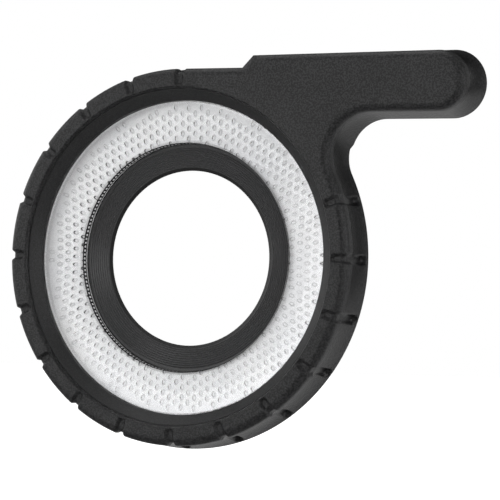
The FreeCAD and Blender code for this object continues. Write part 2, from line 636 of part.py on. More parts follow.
def make_arm_reflector():
    """White tray over the front and sides of the bar in the arm."""
    body = new_body("arm_reflector")
    tray = bar_outline(body, "tray_outline", TRAY_FRONT, TRAY_GROW)
    extrude(body, "Pad", "tray", tray, f"Sizes.bar_back - {TRAY_FRONT}")
    trough = bar_outline(body, "trough_outline", "Sizes.bezel_back", "Sizes.fit")
    extrude(body, "Pocket", "trough", trough, "Sizes.ring_depth")
    end = new_sketch(body, "tray_end_circle", depth="0")
    circle(end, "0", "0", "Sizes.tray_reach")
    extrude(body, "Pocket", "tray_end", end, "Sizes.ring_depth")
    return body


def make_inner_bezel():
    """Black cone round the lens opening. Its fine grooves keep stray light out of the lens."""
    body = new_body("inner_bezel")
    first = "(Sizes.baffle_radius - Sizes.baffle_rim)"
    last = "(Sizes.lens_radius + Sizes.baffle_land)"
    fall = "(Sizes.baffle_inner - Sizes.baffle_front) / (Sizes.baffle_radius - Sizes.lens_radius)"
    grooves = []
    count = int(value("Sizes.groove_count"))
    for index in range(2 * count + 1):
        across = f"({first} - {index} * ({first} - {last}) / (2 * Sizes.groove_count))"
        sunk = "Sizes.groove_depth" if index % 2 else "0"
        grooves.append((across, f"Sizes.baffle_front + (Sizes.baffle_radius - {across}) * {fall} + {sunk}"))
    revolved(body, "grooved_cone", [
        ("Sizes.baffle_radius", "Sizes.baffle_front"),
        *grooves,
        ("Sizes.lens_radius", "Sizes.baffle_inner"),
        ("Sizes.lens_radius", "Sizes.baffle_inner + Sizes.lens_edge"),
        ("Sizes.lens_radius + Sizes.lens_relief", "Sizes.baffle_back"),
        ("Sizes.baffle_flange", "Sizes.baffle_back"),
        ("Sizes.baffle_flange", "Sizes.baffle_flange_front"),
        ("Sizes.baffle_radius", "Sizes.baffle_flange_front"),
    ])
    return body


def make_rear_cover():
    """Plate that closes ring and arm from behind and presses the inner pieces forwards."""
    body = new_body("rear_cover")
    block = cover_outline(body, "cover_outline", "Sizes.rim_front", REAR_INSET)
    extrude(body, "Pad", "cover_plate", block, f"{ARM_DEPTH} - Sizes.rim_front")
    relief = new_sketch(body, "ring_back_circle", depth="Sizes.ring_depth")
    circle(relief, "0", "0", "Sizes.arm_step_radius")
    extrude(body, "Pocket", "ring_back_relief", relief, "Sizes.arm_extra + 1")
    rim_inset = f"({REAR_INSET} + Sizes.rim_thickness)"
    inside = cover_outline(body, "inside_outline", "Sizes.plate_front", rim_inset)
    extrude(body, "Pocket", "inside", inside, "Sizes.plate_front", rearward=False)

    # A rib behind the ring reflector, a rest behind the bar and the screw bosses stand on the plate
    rib_front = f"{GUIDE_FLANGE_BACK} + 2 * Sizes.seat + Sizes.reflector_thickness"
    revolved(body, "reflector_rib", [
        ("Sizes.rib_inner", rib_front),
        ("Sizes.rib_outer", rib_front),
        ("Sizes.rib_outer", "Sizes.plate_front + Sizes.overlap"),
        ("Sizes.rib_inner", "Sizes.plate_front + Sizes.overlap"),
    ])
    bosses = new_sketch(body, "boss_circles", depth="Sizes.boss_front")
    for across, along in screw_places():
        circle(bosses, across, along, "Sizes.boss_radius")
    extrude(body, "Pad", "screw_bosses", bosses, "Sizes.plate_front + Sizes.overlap - Sizes.boss_front")
    rest = bar_outline(body, "rest_outline", REST_FRONT, TRAY_GROW)
    extrude(body, "Pad", "bar_rest", rest, f"Sizes.plate_front + Sizes.overlap - {REST_FRONT}")
    passage = bar_outline(body, "passage_outline", REST_FRONT, f"({TRAY_GROW} + Sizes.fit)")
    extrude(body, "Pocket", "bar_passage", passage, REST_FRONT, rearward=False)

    # Openings for the spigot, the light inlet and its seal, and blind holes for the screws
    opening = new_sketch(body, "opening_circle", depth="0")
    circle(opening, "0", "0", "Sizes.rear_opening")
    extrude(body, "Pocket", "spigot_opening", opening, f"{ARM_DEPTH} + 1")
    inlet = new_sketch(body, "inlet_circle", depth="0")
    circle(inlet, "Sizes.inlet_x", "Sizes.tip_z", INLET_HOLE)
    extrude(body, "Pocket", "inlet_hole", inlet, f"{ARM_DEPTH} + 1")
    seat = new_sketch(body, "seal_circle", depth=f"{ARM_DEPTH} - Sizes.gasket_seat")
    circle(seat, "Sizes.inlet_x", "Sizes.tip_z", "Sizes.gasket_outer + Sizes.fit")
    extrude(body, "Pocket", "seal_seat", seat, "Sizes.gasket_seat + 1")
    pilots = new_sketch(body, "pilot_circles", depth=f"{SEAT_DEPTH} - Sizes.screw_length - Sizes.fit")
    for across, along in screw_places():
        circle(pilots, across, along, "Sizes.screw_shank + Sizes.seat")
    extrude(body, "Pocket", "pilot_holes", pilots, "Sizes.screw_length + 1")

    # Beads on the edge snap into the front cover's groove
    edge = "Sizes.grip_radius - Sizes.wall - Sizes.fit"
    bead = section(body, "bead_section", [
        (f"{edge} - Sizes.overlap", "Sizes.bead_depth - Sizes.bead_width / 2"),
        (edge, "Sizes.bead_depth - Sizes.bead_width / 2"),
        (f"{edge} + Sizes.bead_height", "Sizes.bead_depth"),
        (edge, "Sizes.bead_depth + Sizes.bead_width / 2"),
        (f"{edge} - Sizes.overlap", "Sizes.bead_depth + Sizes.bead_width / 2"),
    ])
    first = turn(body, "Revolution", "snap_bead", bead, "Sizes.bead_angle")
    ring_of(body, "snap_beads", [first], "Sizes.bead_count", "Sizes.bead_span")
    return body


def screw_places():
    """Centres of the screws, as pairs of expressions."""
    places = []
    for index in range(int(value("Sizes.screw_count"))):
        angle = f"((Sizes.screw_angle + {index} * 360 / Sizes.screw_count) * 1deg)"
        places.append((f"Sizes.screw_circle * cos({angle})", f"Sizes.screw_circle * sin({angle})"))
    return places


def make_inlet_gasket():
    """Foam ring that seals the light inlet against the camera's LED window."""
    body = new_body("inlet_gasket")
    front = f"{ARM_DEPTH} - Sizes.gasket_seat"
    ring = new_sketch(body, "foam_circles", depth=front)
    circle(ring, "Sizes.inlet_x", "Sizes.tip_z", "Sizes.gasket_outer")
    circle(ring, "Sizes.inlet_x", "Sizes.tip_z", "Sizes.gasket_inner")
    extrude(body, "Pad", "foam_ring", ring, f"{SEAT_DEPTH} - ({front})")
    return body


def make_bayonet_ring():
    """Flange that seats on the camera, with a spigot and three lugs that lock in its bayonet."""
    body = new_body("bayonet_ring")
    revolved(body, "flange_and_spigot", [
        ("Sizes.spigot_bore", SPIGOT_FRONT),
        (SPIGOT_OUTER, SPIGOT_FRONT),
        (SPIGOT_OUTER, FLANGE_FRONT),
        ("Sizes.flange_radius", FLANGE_FRONT),
        ("Sizes.flange_radius", SEAT_DEPTH),
        (SPIGOT_OUTER, SEAT_DEPTH),
        (SPIGOT_OUTER, f"{SPIGOT_END} - Sizes.spigot_bevel"),
        (f"{SPIGOT_OUTER} - Sizes.spigot_bevel", SPIGOT_END),
        ("Sizes.spigot_bore", SPIGOT_END),
    ])
    lug_rear = f"{SPIGOT_END} - Sizes.spigot_bevel"
    lug_front = f"{lug_rear} - Sizes.lug_thickness"
    lug = section(body, "lug_section", [
        (f"{SPIGOT_OUTER} - Sizes.spigot_wall / 2", lug_front),
        (f"{SPIGOT_OUTER} + Sizes.lug_height", lug_front),
        (f"{SPIGOT_OUTER} + Sizes.lug_height", lug_rear),
        (f"{SPIGOT_OUTER} - Sizes.spigot_wall / 2", lug_rear),
    ])
    first = turn(body, "Revolution", "lug", lug, "Sizes.lug_angle")
    lugs = ring_of(body, "lugs", [first], "Sizes.lug_count")
    slot = new_sketch(body, "lock_slot_outline", depth=FLANGE_FRONT)
    polygon(slot, [
        ("-Sizes.lock_width / 2", "-Sizes.lock_radius - Sizes.lock_length / 2"),
        ("Sizes.lock_width / 2", "-Sizes.lock_radius - Sizes.lock_length / 2"),
        ("Sizes.lock_width / 2", "-Sizes.lock_radius + Sizes.lock_length / 2"),
        ("-Sizes.lock_width / 2", "-Sizes.lock_radius + Sizes.lock_length / 2"),
    ])
    slot_cut = extrude(body, "Pocket", "lock_slot", slot, "Sizes.flange_thickness + 1")
    places = new_sketch(body, "screw_circles", depth=SEAT_DEPTH)
    for across, along in screw_places():
        circle(places, across, along, "Sizes.screw_shank + Sizes.fit")
    DOC.recompute()
    holes = body.newObject("PartDesign::Hole", "screw_holes")
    holes.Profile = places
    holes.Reversed = True
    holes.Threaded = False
    holes.DepthType = "Dimension"
    holes.setExpression("Depth", "2 * Sizes.flange_thickness")
    holes.setExpression("Diameter", "2 * (Sizes.screw_shank + Sizes.fit)")
    holes.HoleCutType = "Countersink"
    holes.setExpression("HoleCutDiameter", "2 * (Sizes.screw_head + 2 * Sizes.seat)")
    holes.HoleCutCountersinkAngle = 90
    DOC.recompute()
    return body


def make_bayonet_screws():
    """Four countersunk screws that hold the bayonet ring on the rear cover."""
    forwards = Rotation(Vector(1, 0, 0), 90)
    head_rear = f"({SEAT_DEPTH} - Sizes.seat)"
    head_depth = "(Sizes.screw_head - Sizes.screw_shank)"
    screws = []
    for number, (across, along) in enumerate(screw_places(), start=1):
        shank = DOC.addObject("Part::Cylinder", f"shank_{number}")
        shank.setExpression("Radius", "Sizes.screw_shank")
        shank.setExpression("Height", "Sizes.screw_length - Sizes.seat")
        head = DOC.addObject("Part::Cone", f"head_{number}")
        head.setExpression("Radius1", "Sizes.screw_head")
        head.setExpression("Radius2", "Sizes.screw_shank")
        head.setExpression("Height", head_depth)
        for solid in (shank, head):
            solid.Placement = Placement(Vector(0, 0, 0), forwards)
            solid.setExpression("Placement.Base.x", across)
            solid.setExpression("Placement.Base.y", head_rear)
            solid.setExpression("Placement.Base.z", along)
        blank = DOC.addObject("Part::Fuse", f"blank_{number}")
        blank.Base = shank
        blank.Tool = head
        bars = []
        for name, long_way, short_way in (("wide", "x", "z"), ("tall", "z", "x")):
            bar = DOC.addObject("Part::Box", f"drive_{name}_{number}")
            sides = {"x": "Length", "z": "Height"}
            middles = {"x": across, "z": along}
            bar.setExpression(sides[long_way], "Sizes.screw_head")
            bar.setExpression(sides[short_way], "Sizes.drive_width")
            bar.setExpression("Width", "Sizes.drive_depth + 1")
            bar.setExpression(f"Placement.Base.{long_way}", f"{middles[long_way]} - Sizes.screw_head / 2")
            bar.setExpression(f"Placement.Base.{short_way}", f"{middles[short_way]} - Sizes.drive_width / 2")
            bar.setExpression("Placement.Base.y", f"{head_rear} - Sizes.drive_depth")
            bars.append(bar)
        cross = DOC.addObject("Part::Fuse", f"drive_{number}")
        cross.Base, cross.Tool = bars
        screw = DOC.addObject("Part::Cut", f"screw_{number}")
        screw.Base = blank
        screw.Tool = cross
        screws.append(screw)
    group = DOC.addObject("Part::Compound", "bayonet_screws")
    group.Label = "bayonet_screws"
    group.Links = screws
    group.setExpression("Placement.Base.y", f"-{SEAT_DEPTH}")
    DOC.recompute()
    return group


pieces = [
    make_front_cover(),
    make_outer_bezel(),
    make_light_guide(),
    make_ring_reflector(),
    make_arm_reflector(),
    make_inner_bezel(),
    make_rear_cover(),
    make_inlet_gasket(),
    make_bayonet_ring(),
    make_bayonet_screws(),
]
DOC.recompute()

for item in DOC.Objects:
    if "Invalid" in item.State or "Error" in item.State:
        raise RuntimeError(f"{item.Label} failed: {item.State}")

os.makedirs("parts", exist_ok=True)
for piece in pieces:
    shape = piece.Shape
    if shape.isNull() or not shape.isValid():
        raise RuntimeError(f"{piece.Label} has no valid shape")
    shape.exportStep(f"parts/{piece.Label}.step")
    solids = len(shape.Solids)
    print(f"{piece.Label}: {solids} solid(s), {shape.Volume:.1f} mm3")
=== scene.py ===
import math

import bmesh
import bpy
from mathutils import Matrix, Vector


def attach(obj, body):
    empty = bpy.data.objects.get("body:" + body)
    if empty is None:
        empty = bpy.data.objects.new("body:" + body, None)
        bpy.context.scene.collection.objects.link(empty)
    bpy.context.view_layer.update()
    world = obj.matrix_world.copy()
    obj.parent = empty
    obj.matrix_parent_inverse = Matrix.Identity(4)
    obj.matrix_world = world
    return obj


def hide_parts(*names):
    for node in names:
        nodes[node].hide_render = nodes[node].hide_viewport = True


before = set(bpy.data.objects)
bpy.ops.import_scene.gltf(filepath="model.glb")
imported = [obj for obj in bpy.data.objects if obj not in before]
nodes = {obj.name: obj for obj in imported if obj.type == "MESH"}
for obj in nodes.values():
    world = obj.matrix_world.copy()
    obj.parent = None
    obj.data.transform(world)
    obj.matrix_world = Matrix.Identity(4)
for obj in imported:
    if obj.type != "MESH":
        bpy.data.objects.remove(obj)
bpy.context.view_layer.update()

scene = bpy.context.scene
scene.view_settings.view_transform = "Standard"
bpy.ops.object.select_all(action="DESELECT")


# The front cover is the large moulding that the hand touches: the ring, the arm and the
# rounded edge with its grip notches, in one piece. It is black ABS from a mould whose
# walls are spark-eroded, which leaves a fine dry grain that glitters a little in soft light.
MM = 0.001
DEPTH_OF_SEAT = 7.0


def row_point(x, z, depth):
    """A place in metres, from millimetres across, upwards and behind the front face."""
    return (x * MM, (depth - DEPTH_OF_SEAT) * MM, z * MM)


# Its outline: the ring, the hollow under the arm, the arm's tip, top and slanted step.
GRIP_RADIUS = 25.48
TIP = Vector((37.44, 23.4))
TIP_RADIUS = 4.0
ROOT = Vector((10.7, 27.12))
STEP_ANGLE = math.radians(46.0)
WEB_RADIUS = 5.7
WEB_Z = TIP.y - TIP_RADIUS - WEB_RADIUS
WEB = Vector((math.sqrt((GRIP_RADIUS + WEB_RADIUS) ** 2 - WEB_Z ** 2), WEB_Z))
WEB_ANGLE = math.atan2(WEB.y, WEB.x)

# Its notches, from the top of the ring leftwards round to the arm's hollow.
RING_START = -270.0
NOTCH_TURN = 18.0
NOTCH_COUNT = 17
NOTCH_ANGLES = [
    math.radians(NOTCH_TURN * step + RING_START) for step in range(NOTCH_COUNT)
]
NOTCH_DEPTH = 0.42
NOTCH_INNER = 23.1
NOTCH_END = 5.7
NOTCH_HALF = 0.62
NOTCH_SOFT = 0.16

# How close the points of the outline stand, in degrees round the ring and in steps elsewhere.
FINE_TURN = 0.21
FINE_TURNS = 10
COARSE_TURN = 2.0
COARSE_TURNS = 149
LEAST_TURN = 0.15
HOLLOW_STEPS = 30
UNDERSIDE_STEPS = 8
TIP_STEPS = 44
CREST_STEPS = 20
SLANT_STEPS = 8
CREST_BLEND, TOP_BLEND = 4, 3
ANGLE_DIGITS = 6
FLAT_TOP_PLACES = (
    8.6, 8.0, 7.0, 6.0, 5.0, 4.0, 3.0, 2.0, 1.4,
    0.95, 0.85, 0.75, 0.65, 0.55, 0.45, 0.35, 0.25, 0.15, 0.08,
)


def arc_points(centre, radius, start, end, steps, hollow=False):
    """Places on an arc of the outline, each with the way it moves for 1 mm of inset."""
    for step in range(steps + 1):
        angle = start + (end - start) * step / steps
        out = Vector((math.cos(angle), math.sin(angle)))
        yield centre + out * radius, (out if hollow else -out)


def ring_angles():
    """Angles round the ring from its top to the arm's hollow, close together at a notch."""
    first, last = math.radians(RING_START), WEB_ANGLE
    fine = [math.radians(FINE_TURN * step) for step in range(-FINE_TURNS, FINE_TURNS + 1)]
    coarse = math.radians(COARSE_TURN)
    angles = {round(angle + shift, ANGLE_DIGITS) for angle in NOTCH_ANGLES for shift in fine}
    angles |= {round(first + coarse * step, ANGLE_DIGITS) for step in range(COARSE_TURNS)}
    least = math.radians(LEAST_TURN)
    spread = [first]
    for angle in sorted(angle for angle in angles if first < angle < last):
        if angle - spread[-1] > least and last - angle > least:
            spread.append(angle)
    return spread


def cover_outline():
    """The outline as (place, way inwards): round the ring, under the arm, its tip and back."""
    spots = []
    for angle in ring_angles():
        out = Vector((math.cos(angle), math.sin(angle)))
        spots.append((out * GRIP_RADIUS, -out))
    spots += arc_points(
        WEB, WEB_RADIUS, math.pi + WEB_ANGLE, math.pi / 2, HOLLOW_STEPS, hollow=True,
    )
    for step in range(1, UNDERSIDE_STEPS):
        x = WEB.x + (TIP.x - WEB.x) * step / UNDERSIDE_STEPS
        spots.append((Vector((x, TIP.y - TIP_RADIUS)), Vector((0.0, 1.0))))
    reach = TIP - ROOT
    lean = math.atan2(reach.y, reach.x) + math.asin(TIP_RADIUS / reach.length)
    spots += arc_points(TIP, TIP_RADIUS, -math.pi / 2, math.pi / 2 + lean, TIP_STEPS)
    crest = TIP + TIP_RADIUS * Vector((-math.sin(lean), math.cos(lean)))
    down = Vector((math.sin(lean), -math.cos(lean)))
    slant = Vector((math.sin(STEP_ANGLE), -math.cos(STEP_ANGLE)))
    straight = Vector((0.0, -1.0))
    at_root = (down + slant) / (1.0 + down.dot(slant))
    at_foot = (straight + slant) / (1.0 + straight.dot(slant))
    foot = Vector((ROOT.x - (ROOT.y - GRIP_RADIUS) / math.tan(STEP_ANGLE), GRIP_RADIUS))
    for step in range(1, CREST_STEPS):
        share = step / CREST_STEPS
        spots.append((crest.lerp(ROOT, share), down.lerp(at_root, share ** CREST_BLEND)))
    for step in range(SLANT_STEPS + 1):
        share = step / SLANT_STEPS
        spots.append((ROOT.lerp(foot, share), at_root.lerp(at_foot, share)))
    for x in FLAT_TOP_PLACES:
        share = (x / foot.x) ** TOP_BLEND
        spots.append((Vector((x, GRIP_RADIUS)), straight.lerp(at_foot, share)))
    return spots


# Its edge from the face back: the flat rim, the round shoulder, the crease and the side,
# which flares outwards to the rear. Each pair is the inset and the depth.
FACE_INSETS = (2.35, 2.28, 2.2, 2.12, 2.0, 1.85, 1.7, 1.5, 1.3, 1.2)
SHOULDER = 1.1
SHOULDER_STEPS = 12
CREASE = (
    (0.0, 1.35), (0.0, 1.6), (0.005, 1.75), (0.015, 1.86), (0.04, 1.94), (0.10, 2.02),
    (0.18, 2.10), (0.27, 2.19), (0.34, 2.30), (0.37, 2.42), (0.375, 2.55), (0.37, 2.70),
    (0.345, 2.86),
)
SIDE_DEPTHS = (
    3.1, 3.4, 3.8, 4.2, 4.6, 4.9, 5.05, 5.15, 5.25,
    5.35, 5.45, 5.55, 5.65, 5.75, 5.85, 6.0, 6.1,
)
FLARE_INSET, FLARE_FROM, FLARE_LENGTH = 0.345, 2.86, 3.24
FLARE = 0.775
FLARE_STRAIGHT, FLARE_CURVED = 0.45, 0.55
REAR_EDGE = ((-0.40, 6.17), (-0.34, 6.2))


def cover_profile():
    """The edge as rows of inset and depth, and inset and depth of a notch's floor."""
    rows = [(inset, 0.0, inset, NOTCH_DEPTH) for inset in FACE_INSETS]
    low = SHOULDER - NOTCH_DEPTH
    for step in range(SHOULDER_STEPS + 1):
        angle = math.radians(90 * step / SHOULDER_STEPS)
        out = (math.sin(angle), math.cos(angle))
        rows.append((
            SHOULDER - SHOULDER * out[0], SHOULDER - SHOULDER * out[1],
            SHOULDER - low * out[0], SHOULDER - low * out[1],
        ))
    rows += [(inset, depth, max(inset, NOTCH_DEPTH), depth) for inset, depth in CREASE]
    for depth in SIDE_DEPTHS:
        share = (depth - FLARE_FROM) / FLARE_LENGTH
        inset = FLARE_INSET - FLARE * share * (FLARE_STRAIGHT + FLARE_CURVED * share)
        rows.append((inset, depth, NOTCH_DEPTH, depth))
    rows += [(inset, depth, NOTCH_DEPTH, depth) for inset, depth in REAR_EDGE]
    return rows


def smooth_step(low, high, number):
    part = min(max((number - low) / (high - low), 0.0), 1.0)
    return part * part * (3.0 - 2.0 * part)


def notch_share(spot, along, first, last):
    """How far a place lies in a notch, from 0 outside to 1 on its floor.

    The place along the edge, and the notch's first and last, are lengths from the face.
    """
    share = 0.0
    low, high = NOTCH_HALF - 2 * NOTCH_SOFT, NOTCH_HALF + NOTCH_SOFT
    for angle in NOTCH_ANGLES:
        out = Vector((math.cos(angle), math.sin(angle)))
        if spot.dot(out) > 0.0:
            across = spot.x * out.y - spot.y * out.x
            beyond = max(first - along, along - last, 0.0)
            off = math.hypot(across, beyond)
            share = max(share, 1.0 - smooth_step(low, high, off))
    return share


# The arm's sides go on half a millimetre deeper than the ring's, from a soft step.
RING_DEPTH = 6.2
ARM_DEPTH = 6.7
ARM_STEP = 27.5
ARM_STEP_SOFT = 0.12
ARM_STEP_INSET = 0.4
ARM_SIDE_FROM = 4.9
ARM_FLARE = 0.228


def arm_share(spot, inwards):
    """How far a place belongs to the arm, from 0 on the ring to 1."""
    reach = (spot - inwards * ARM_STEP_INSET).length
    return smooth_step(ARM_STEP - ARM_STEP_SOFT, ARM_STEP + ARM_STEP_SOFT, reach)


# The wall behind the face, and the opening for the cone with its rounded front edge.
WALL = 1.3
FACE_PLATE = 1.5
OPENING = (
    (22.76, FACE_PLATE), (22.76, 0.66), (22.78, 0.50), (22.825, 0.34),
    (22.895, 0.19), (22.98, 0.07), (23.08, 0.0),
)
OPENING_STEPS = 40
COVER_SMOOTH = math.radians(40)
FLAT_WEIGHT = 100


def close_row(mesh, rings):
    """Faces between rings of points that have the same number of points."""
    for low, high in zip(rings, rings[1:]):
        for index in range(len(low)):
            nearby = (index + 1) % len(low)
            mesh.faces.new((low[index], low[nearby], high[nearby], high[index]))


def make_piece(mesh, name):
    """Puts a finished mesh into the scene as a piece."""
    data = bpy.data.meshes.new(name)
    mesh.to_mesh(data)
    mesh.free()
    piece = bpy.data.objects.new(name, data)
    scene.collection.objects.link(piece)
    return piece


def select_only(piece):
    bpy.ops.object.select_all(action="DESELECT")
    piece.select_set(True)
    bpy.context.view_layer.objects.active = piece


def face_outwards(piece):
    select_only(piece)
    bpy.ops.object.mode_set(mode="EDIT")
    bpy.ops.mesh.select_all(action="SELECT")
    bpy.ops.mesh.normals_make_consistent(inside=False)
    bpy.ops.object.mode_set(mode="OBJECT")


def cover_skin(mesh, outline):
    """Rings of points over the edge of the cover and down the inside of its wall."""
    profile = cover_profile()
    lengths = [0.0]
    for before, after in zip(profile, profile[1:]):
        step = math.hypot(after[0] - before[0], after[1] - before[1])
        lengths.append(lengths[-1] + step)
    first = profile[0][0] - (GRIP_RADIUS - NOTCH_INNER) + NOTCH_HALF
    last = next(
        length for length, row in zip(lengths, profile) if row[1] >= NOTCH_END - NOTCH_HALF
    )
    rings = []
    for along, (inset, depth, floor_inset, floor_depth) in zip(lengths, profile):
        ring = []
        for spot, inwards in outline:
            share = notch_share(spot, along, first, last)
            arm = arm_share(spot, inwards)
            side = max(depth - ARM_SIDE_FROM, 0.0)
            longer = arm * (ARM_DEPTH - RING_DEPTH) * side / (RING_DEPTH - ARM_SIDE_FROM)
            here_inset = inset + share * (floor_inset - inset) - ARM_FLARE * longer
            here_depth = depth + share * (floor_depth - depth) + longer
            place = spot + inwards * here_inset
            ring.append(mesh.verts.new(row_point(place.x, place.y, here_depth)))
        rings.append(ring)
    for at_rear in (True, False):
        ring = []
        for spot, inwards in outline:
            depth = FACE_PLATE
            if at_rear:
                depth = RING_DEPTH + arm_share(spot, inwards) * (ARM_DEPTH - RING_DEPTH)
            place = spot + inwards * WALL
            ring.append(mesh.verts.new(row_point(place.x, place.y, depth)))
        rings.append(ring)
    return rings


def make_front_cover():
    mesh = bmesh.new()
    rings = cover_skin(mesh, cover_outline())
    close_row(mesh, rings)
    around = ring_angles()
    beside = len(around)
    corner = 2 * math.pi + around[0]
    around += [
        WEB_ANGLE + (corner - WEB_ANGLE) * step / OPENING_STEPS
        for step in range(OPENING_STEPS)
    ]
    opening = []
    for radius, depth in OPENING:
        places = [(radius * math.cos(angle), radius * math.sin(angle)) for angle in around]
        opening.append([mesh.verts.new(row_point(x, z, depth)) for x, z in places])
    close_row(mesh, opening)
    for edge, hole in ((rings[0], opening[-1]), (rings[-1], opening[0])):
        for index in range(beside - 1):
            mesh.faces.new((edge[index], edge[index + 1], hole[index + 1], hole[index]))
        mesh.faces.new(edge[beside - 1:] + [edge[0], hole[0]] + hole[:beside - 2:-1])
    piece = make_piece(mesh, "front_cover_moulding")
    face_outwards(piece)
    bpy.ops.object.shade_smooth_by_angle(angle=COVER_SMOOTH)
    weighted = piece.modifiers.new("flat_faces", "WEIGHTED_NORMAL")
    weighted.keep_sharp = True
    weighted.weight = FLAT_WEIGHT
    bpy.ops.object.modifier_apply(modifier=weighted.name)
    return piece


# The grain that the eroded mould leaves, shared by all moulded pieces at different sizes.
CELL_SHARE = 0.7
GLINT_FROM, GLINT_TO = 0.36, 0.66


def links(tree, *pairs):
    for start, end in pairs:
        tree.links.new(start, end)


def add_node(tree, kind, **settings):
    node = tree.nodes.new(kind)
    for name, setting in settings.items():
        setattr(node, name, setting)
    return node


def new_group(name, inputs, outputs):
    group = bpy.data.node_groups.new(name, "ShaderNodeTree")
    for label, default in inputs:
        socket = group.interface.new_socket(
            label, in_out="INPUT", socket_type="NodeSocketFloat",
        )
        socket.default_value = default
    for label in outputs:
        group.interface.new_socket(label, in_out="OUTPUT", socket_type="NodeSocketFloat")
    return group


def make_grain_group():
    """Height and glitter of the grain, with a slow unevenness of the finish."""
    group = new_group(
        "eroded_grain", (("Grain", 0.2), ("Patch", 9.0)), ("Height", "Sparkle", "Patches"),
    )
    start = add_node(group, "NodeGroupInput")
    end = add_node(group, "NodeGroupOutput")
    place = add_node(group, "ShaderNodeTexCoord")
    pitch = add_node(group, "ShaderNodeMath", operation="DIVIDE")
    pitch.inputs[0].default_value = 1.0 / MM
    cells = add_node(group, "ShaderNodeTexVoronoi", feature="SMOOTH_F1")
    cells.inputs["Smoothness"].default_value = 0.6
    soft = add_node(group, "ShaderNodeTexNoise")
    soft.inputs["Detail"].default_value = 3.0
    soft.inputs["Roughness"].default_value = 0.62
    both = add_node(group, "ShaderNodeMath", operation="MULTIPLY_ADD")
    both.inputs[1].default_value = CELL_SHARE
    slow_pitch = add_node(group, "ShaderNodeMath", operation="DIVIDE")
    slow_pitch.inputs[0].default_value = 1.0 / MM
    slow = add_node(group, "ShaderNodeTexNoise")
    slow.inputs["Detail"].default_value = 4.0
    glint = add_node(group, "ShaderNodeMapRange", interpolation_type="SMOOTHSTEP")
    glint.inputs["From Min"].default_value = GLINT_FROM
    glint.inputs["From Max"].default_value = GLINT_TO
    links(
        group,
        (start.outputs["Grain"], pitch.inputs[1]),
        (start.outputs["Patch"], slow_pitch.inputs[1]),
        (place.outputs["Object"], cells.inputs["Vector"]),
        (place.outputs["Object"], soft.inputs["Vector"]),
        (place.outputs["Object"], slow.inputs["Vector"]),
        (pitch.outputs[0], cells.inputs["Scale"]),
        (pitch.outputs[0], soft.inputs["Scale"]),
        (slow_pitch.outputs[0], slow.inputs["Scale"]),
        (cells.outputs["Distance"], both.inputs[0]),
        (soft.outputs["Fac"], both.inputs[2]),
        (both.outputs[0], end.inputs["Height"]),
        (soft.outputs["Fac"], glint.inputs["Value"]),
        (glint.outputs["Result"], end.inputs["Sparkle"]),
        (slow.outputs["Fac"], end.inputs["Patches"]),
    )
    return group


eroded_grain = make_grain_group()
MIDDLE_FROM, MIDDLE_TO = 0.3, 0.7


def ramp(tree, value, low, high):
    """A colour that runs from low to high as the value runs over its middle."""
    made = add_node(tree, "ShaderNodeValToRGB")
    made.color_ramp.elements[0].position = MIDDLE_FROM
    made.color_ramp.elements[1].position = MIDDLE_TO
    made.color_ramp.elements[0].color = (*low, 1.0)
    made.color_ramp.elements[1].color = (*high, 1.0)
    tree.links.new(value, made.inputs["Fac"])
    return made.outputs["Color"]


def span(tree, value, low, high):
    """A number that runs from low to high as the value runs over its middle."""
    made = add_node(tree, "ShaderNodeMapRange")
    made.inputs["From Min"].default_value = MIDDLE_FROM
    made.inputs["From Max"].default_value = MIDDLE_TO
    made.inputs["To Min"].default_value = low
    made.inputs["To Max"].default_value = high
    tree.links.new(value, made.inputs["Value"])
    return made.outputs["Result"]


PLASTIC_IOR = 1.49


def start_material(name, grain):
    """A material with its shader and the grain group placed in it."""
    material = bpy.data.materials.new(name)
    material.use_nodes = True
    tree = material.node_tree
    shader = tree.nodes["Principled BSDF"]
    shader.inputs["IOR"].default_value = PLASTIC_IOR
    surface = add_node(tree, "ShaderNodeGroup", node_tree=eroded_grain)
    surface.inputs["Grain"].default_value = grain
    return material, tree, shader, surface


def make_plastic(name, dark, light, grain, height, dull, bright, specular=0.5):
    """Moulded plastic: its grain stands in the bump, and its gloss is uneven.

    Grain and height are in millimetres, and dull and bright are two roughnesses.
    """
    material, tree, shader, surface = start_material(name, grain)
    shader.inputs["Specular IOR Level"].default_value = specular
    bump = add_node(tree, "ShaderNodeBump")
    bump.inputs["Distance"].default_value = height * MM
    bump.inputs["Strength"].default_value = 1.0
    color = ramp(tree, surface.outputs["Sparkle"], dark, light)
    roughness = span(tree, surface.outputs["Patches"], dull, bright)
    links(
        tree,
        (surface.outputs["Height"], bump.inputs["Height"]),
        (bump.outputs["Normal"], shader.inputs["Normal"]),
        (color, shader.inputs["Base Color"]),
        (roughness, shader.inputs["Roughness"]),
    )
    return material


textured_black = make_plastic(
    "textured_black_plastic", dark=(0.0090, 0.0090, 0.0093), light=(0.029, 0.029, 0.030),
    grain=0.22, height=0.035, dull=0.54, bright=0.46,
)

# Behind the crease the mould was polished, so the sides are smoother than the face. Their
# colour gets painted shade by depth, darkest at the crease and lighter to the rear edge.
POLISH_FROM, POLISH_TO = 2.0, 2.5
POLISHED = 0.33
SHADE_DEPTH = 10.0
SIDE_PAINTED_SHADES = ((1.9, 1.0), (2.5, 0.15), (3.6, 0.20), (4.8, 0.45), (6.1, 0.85))


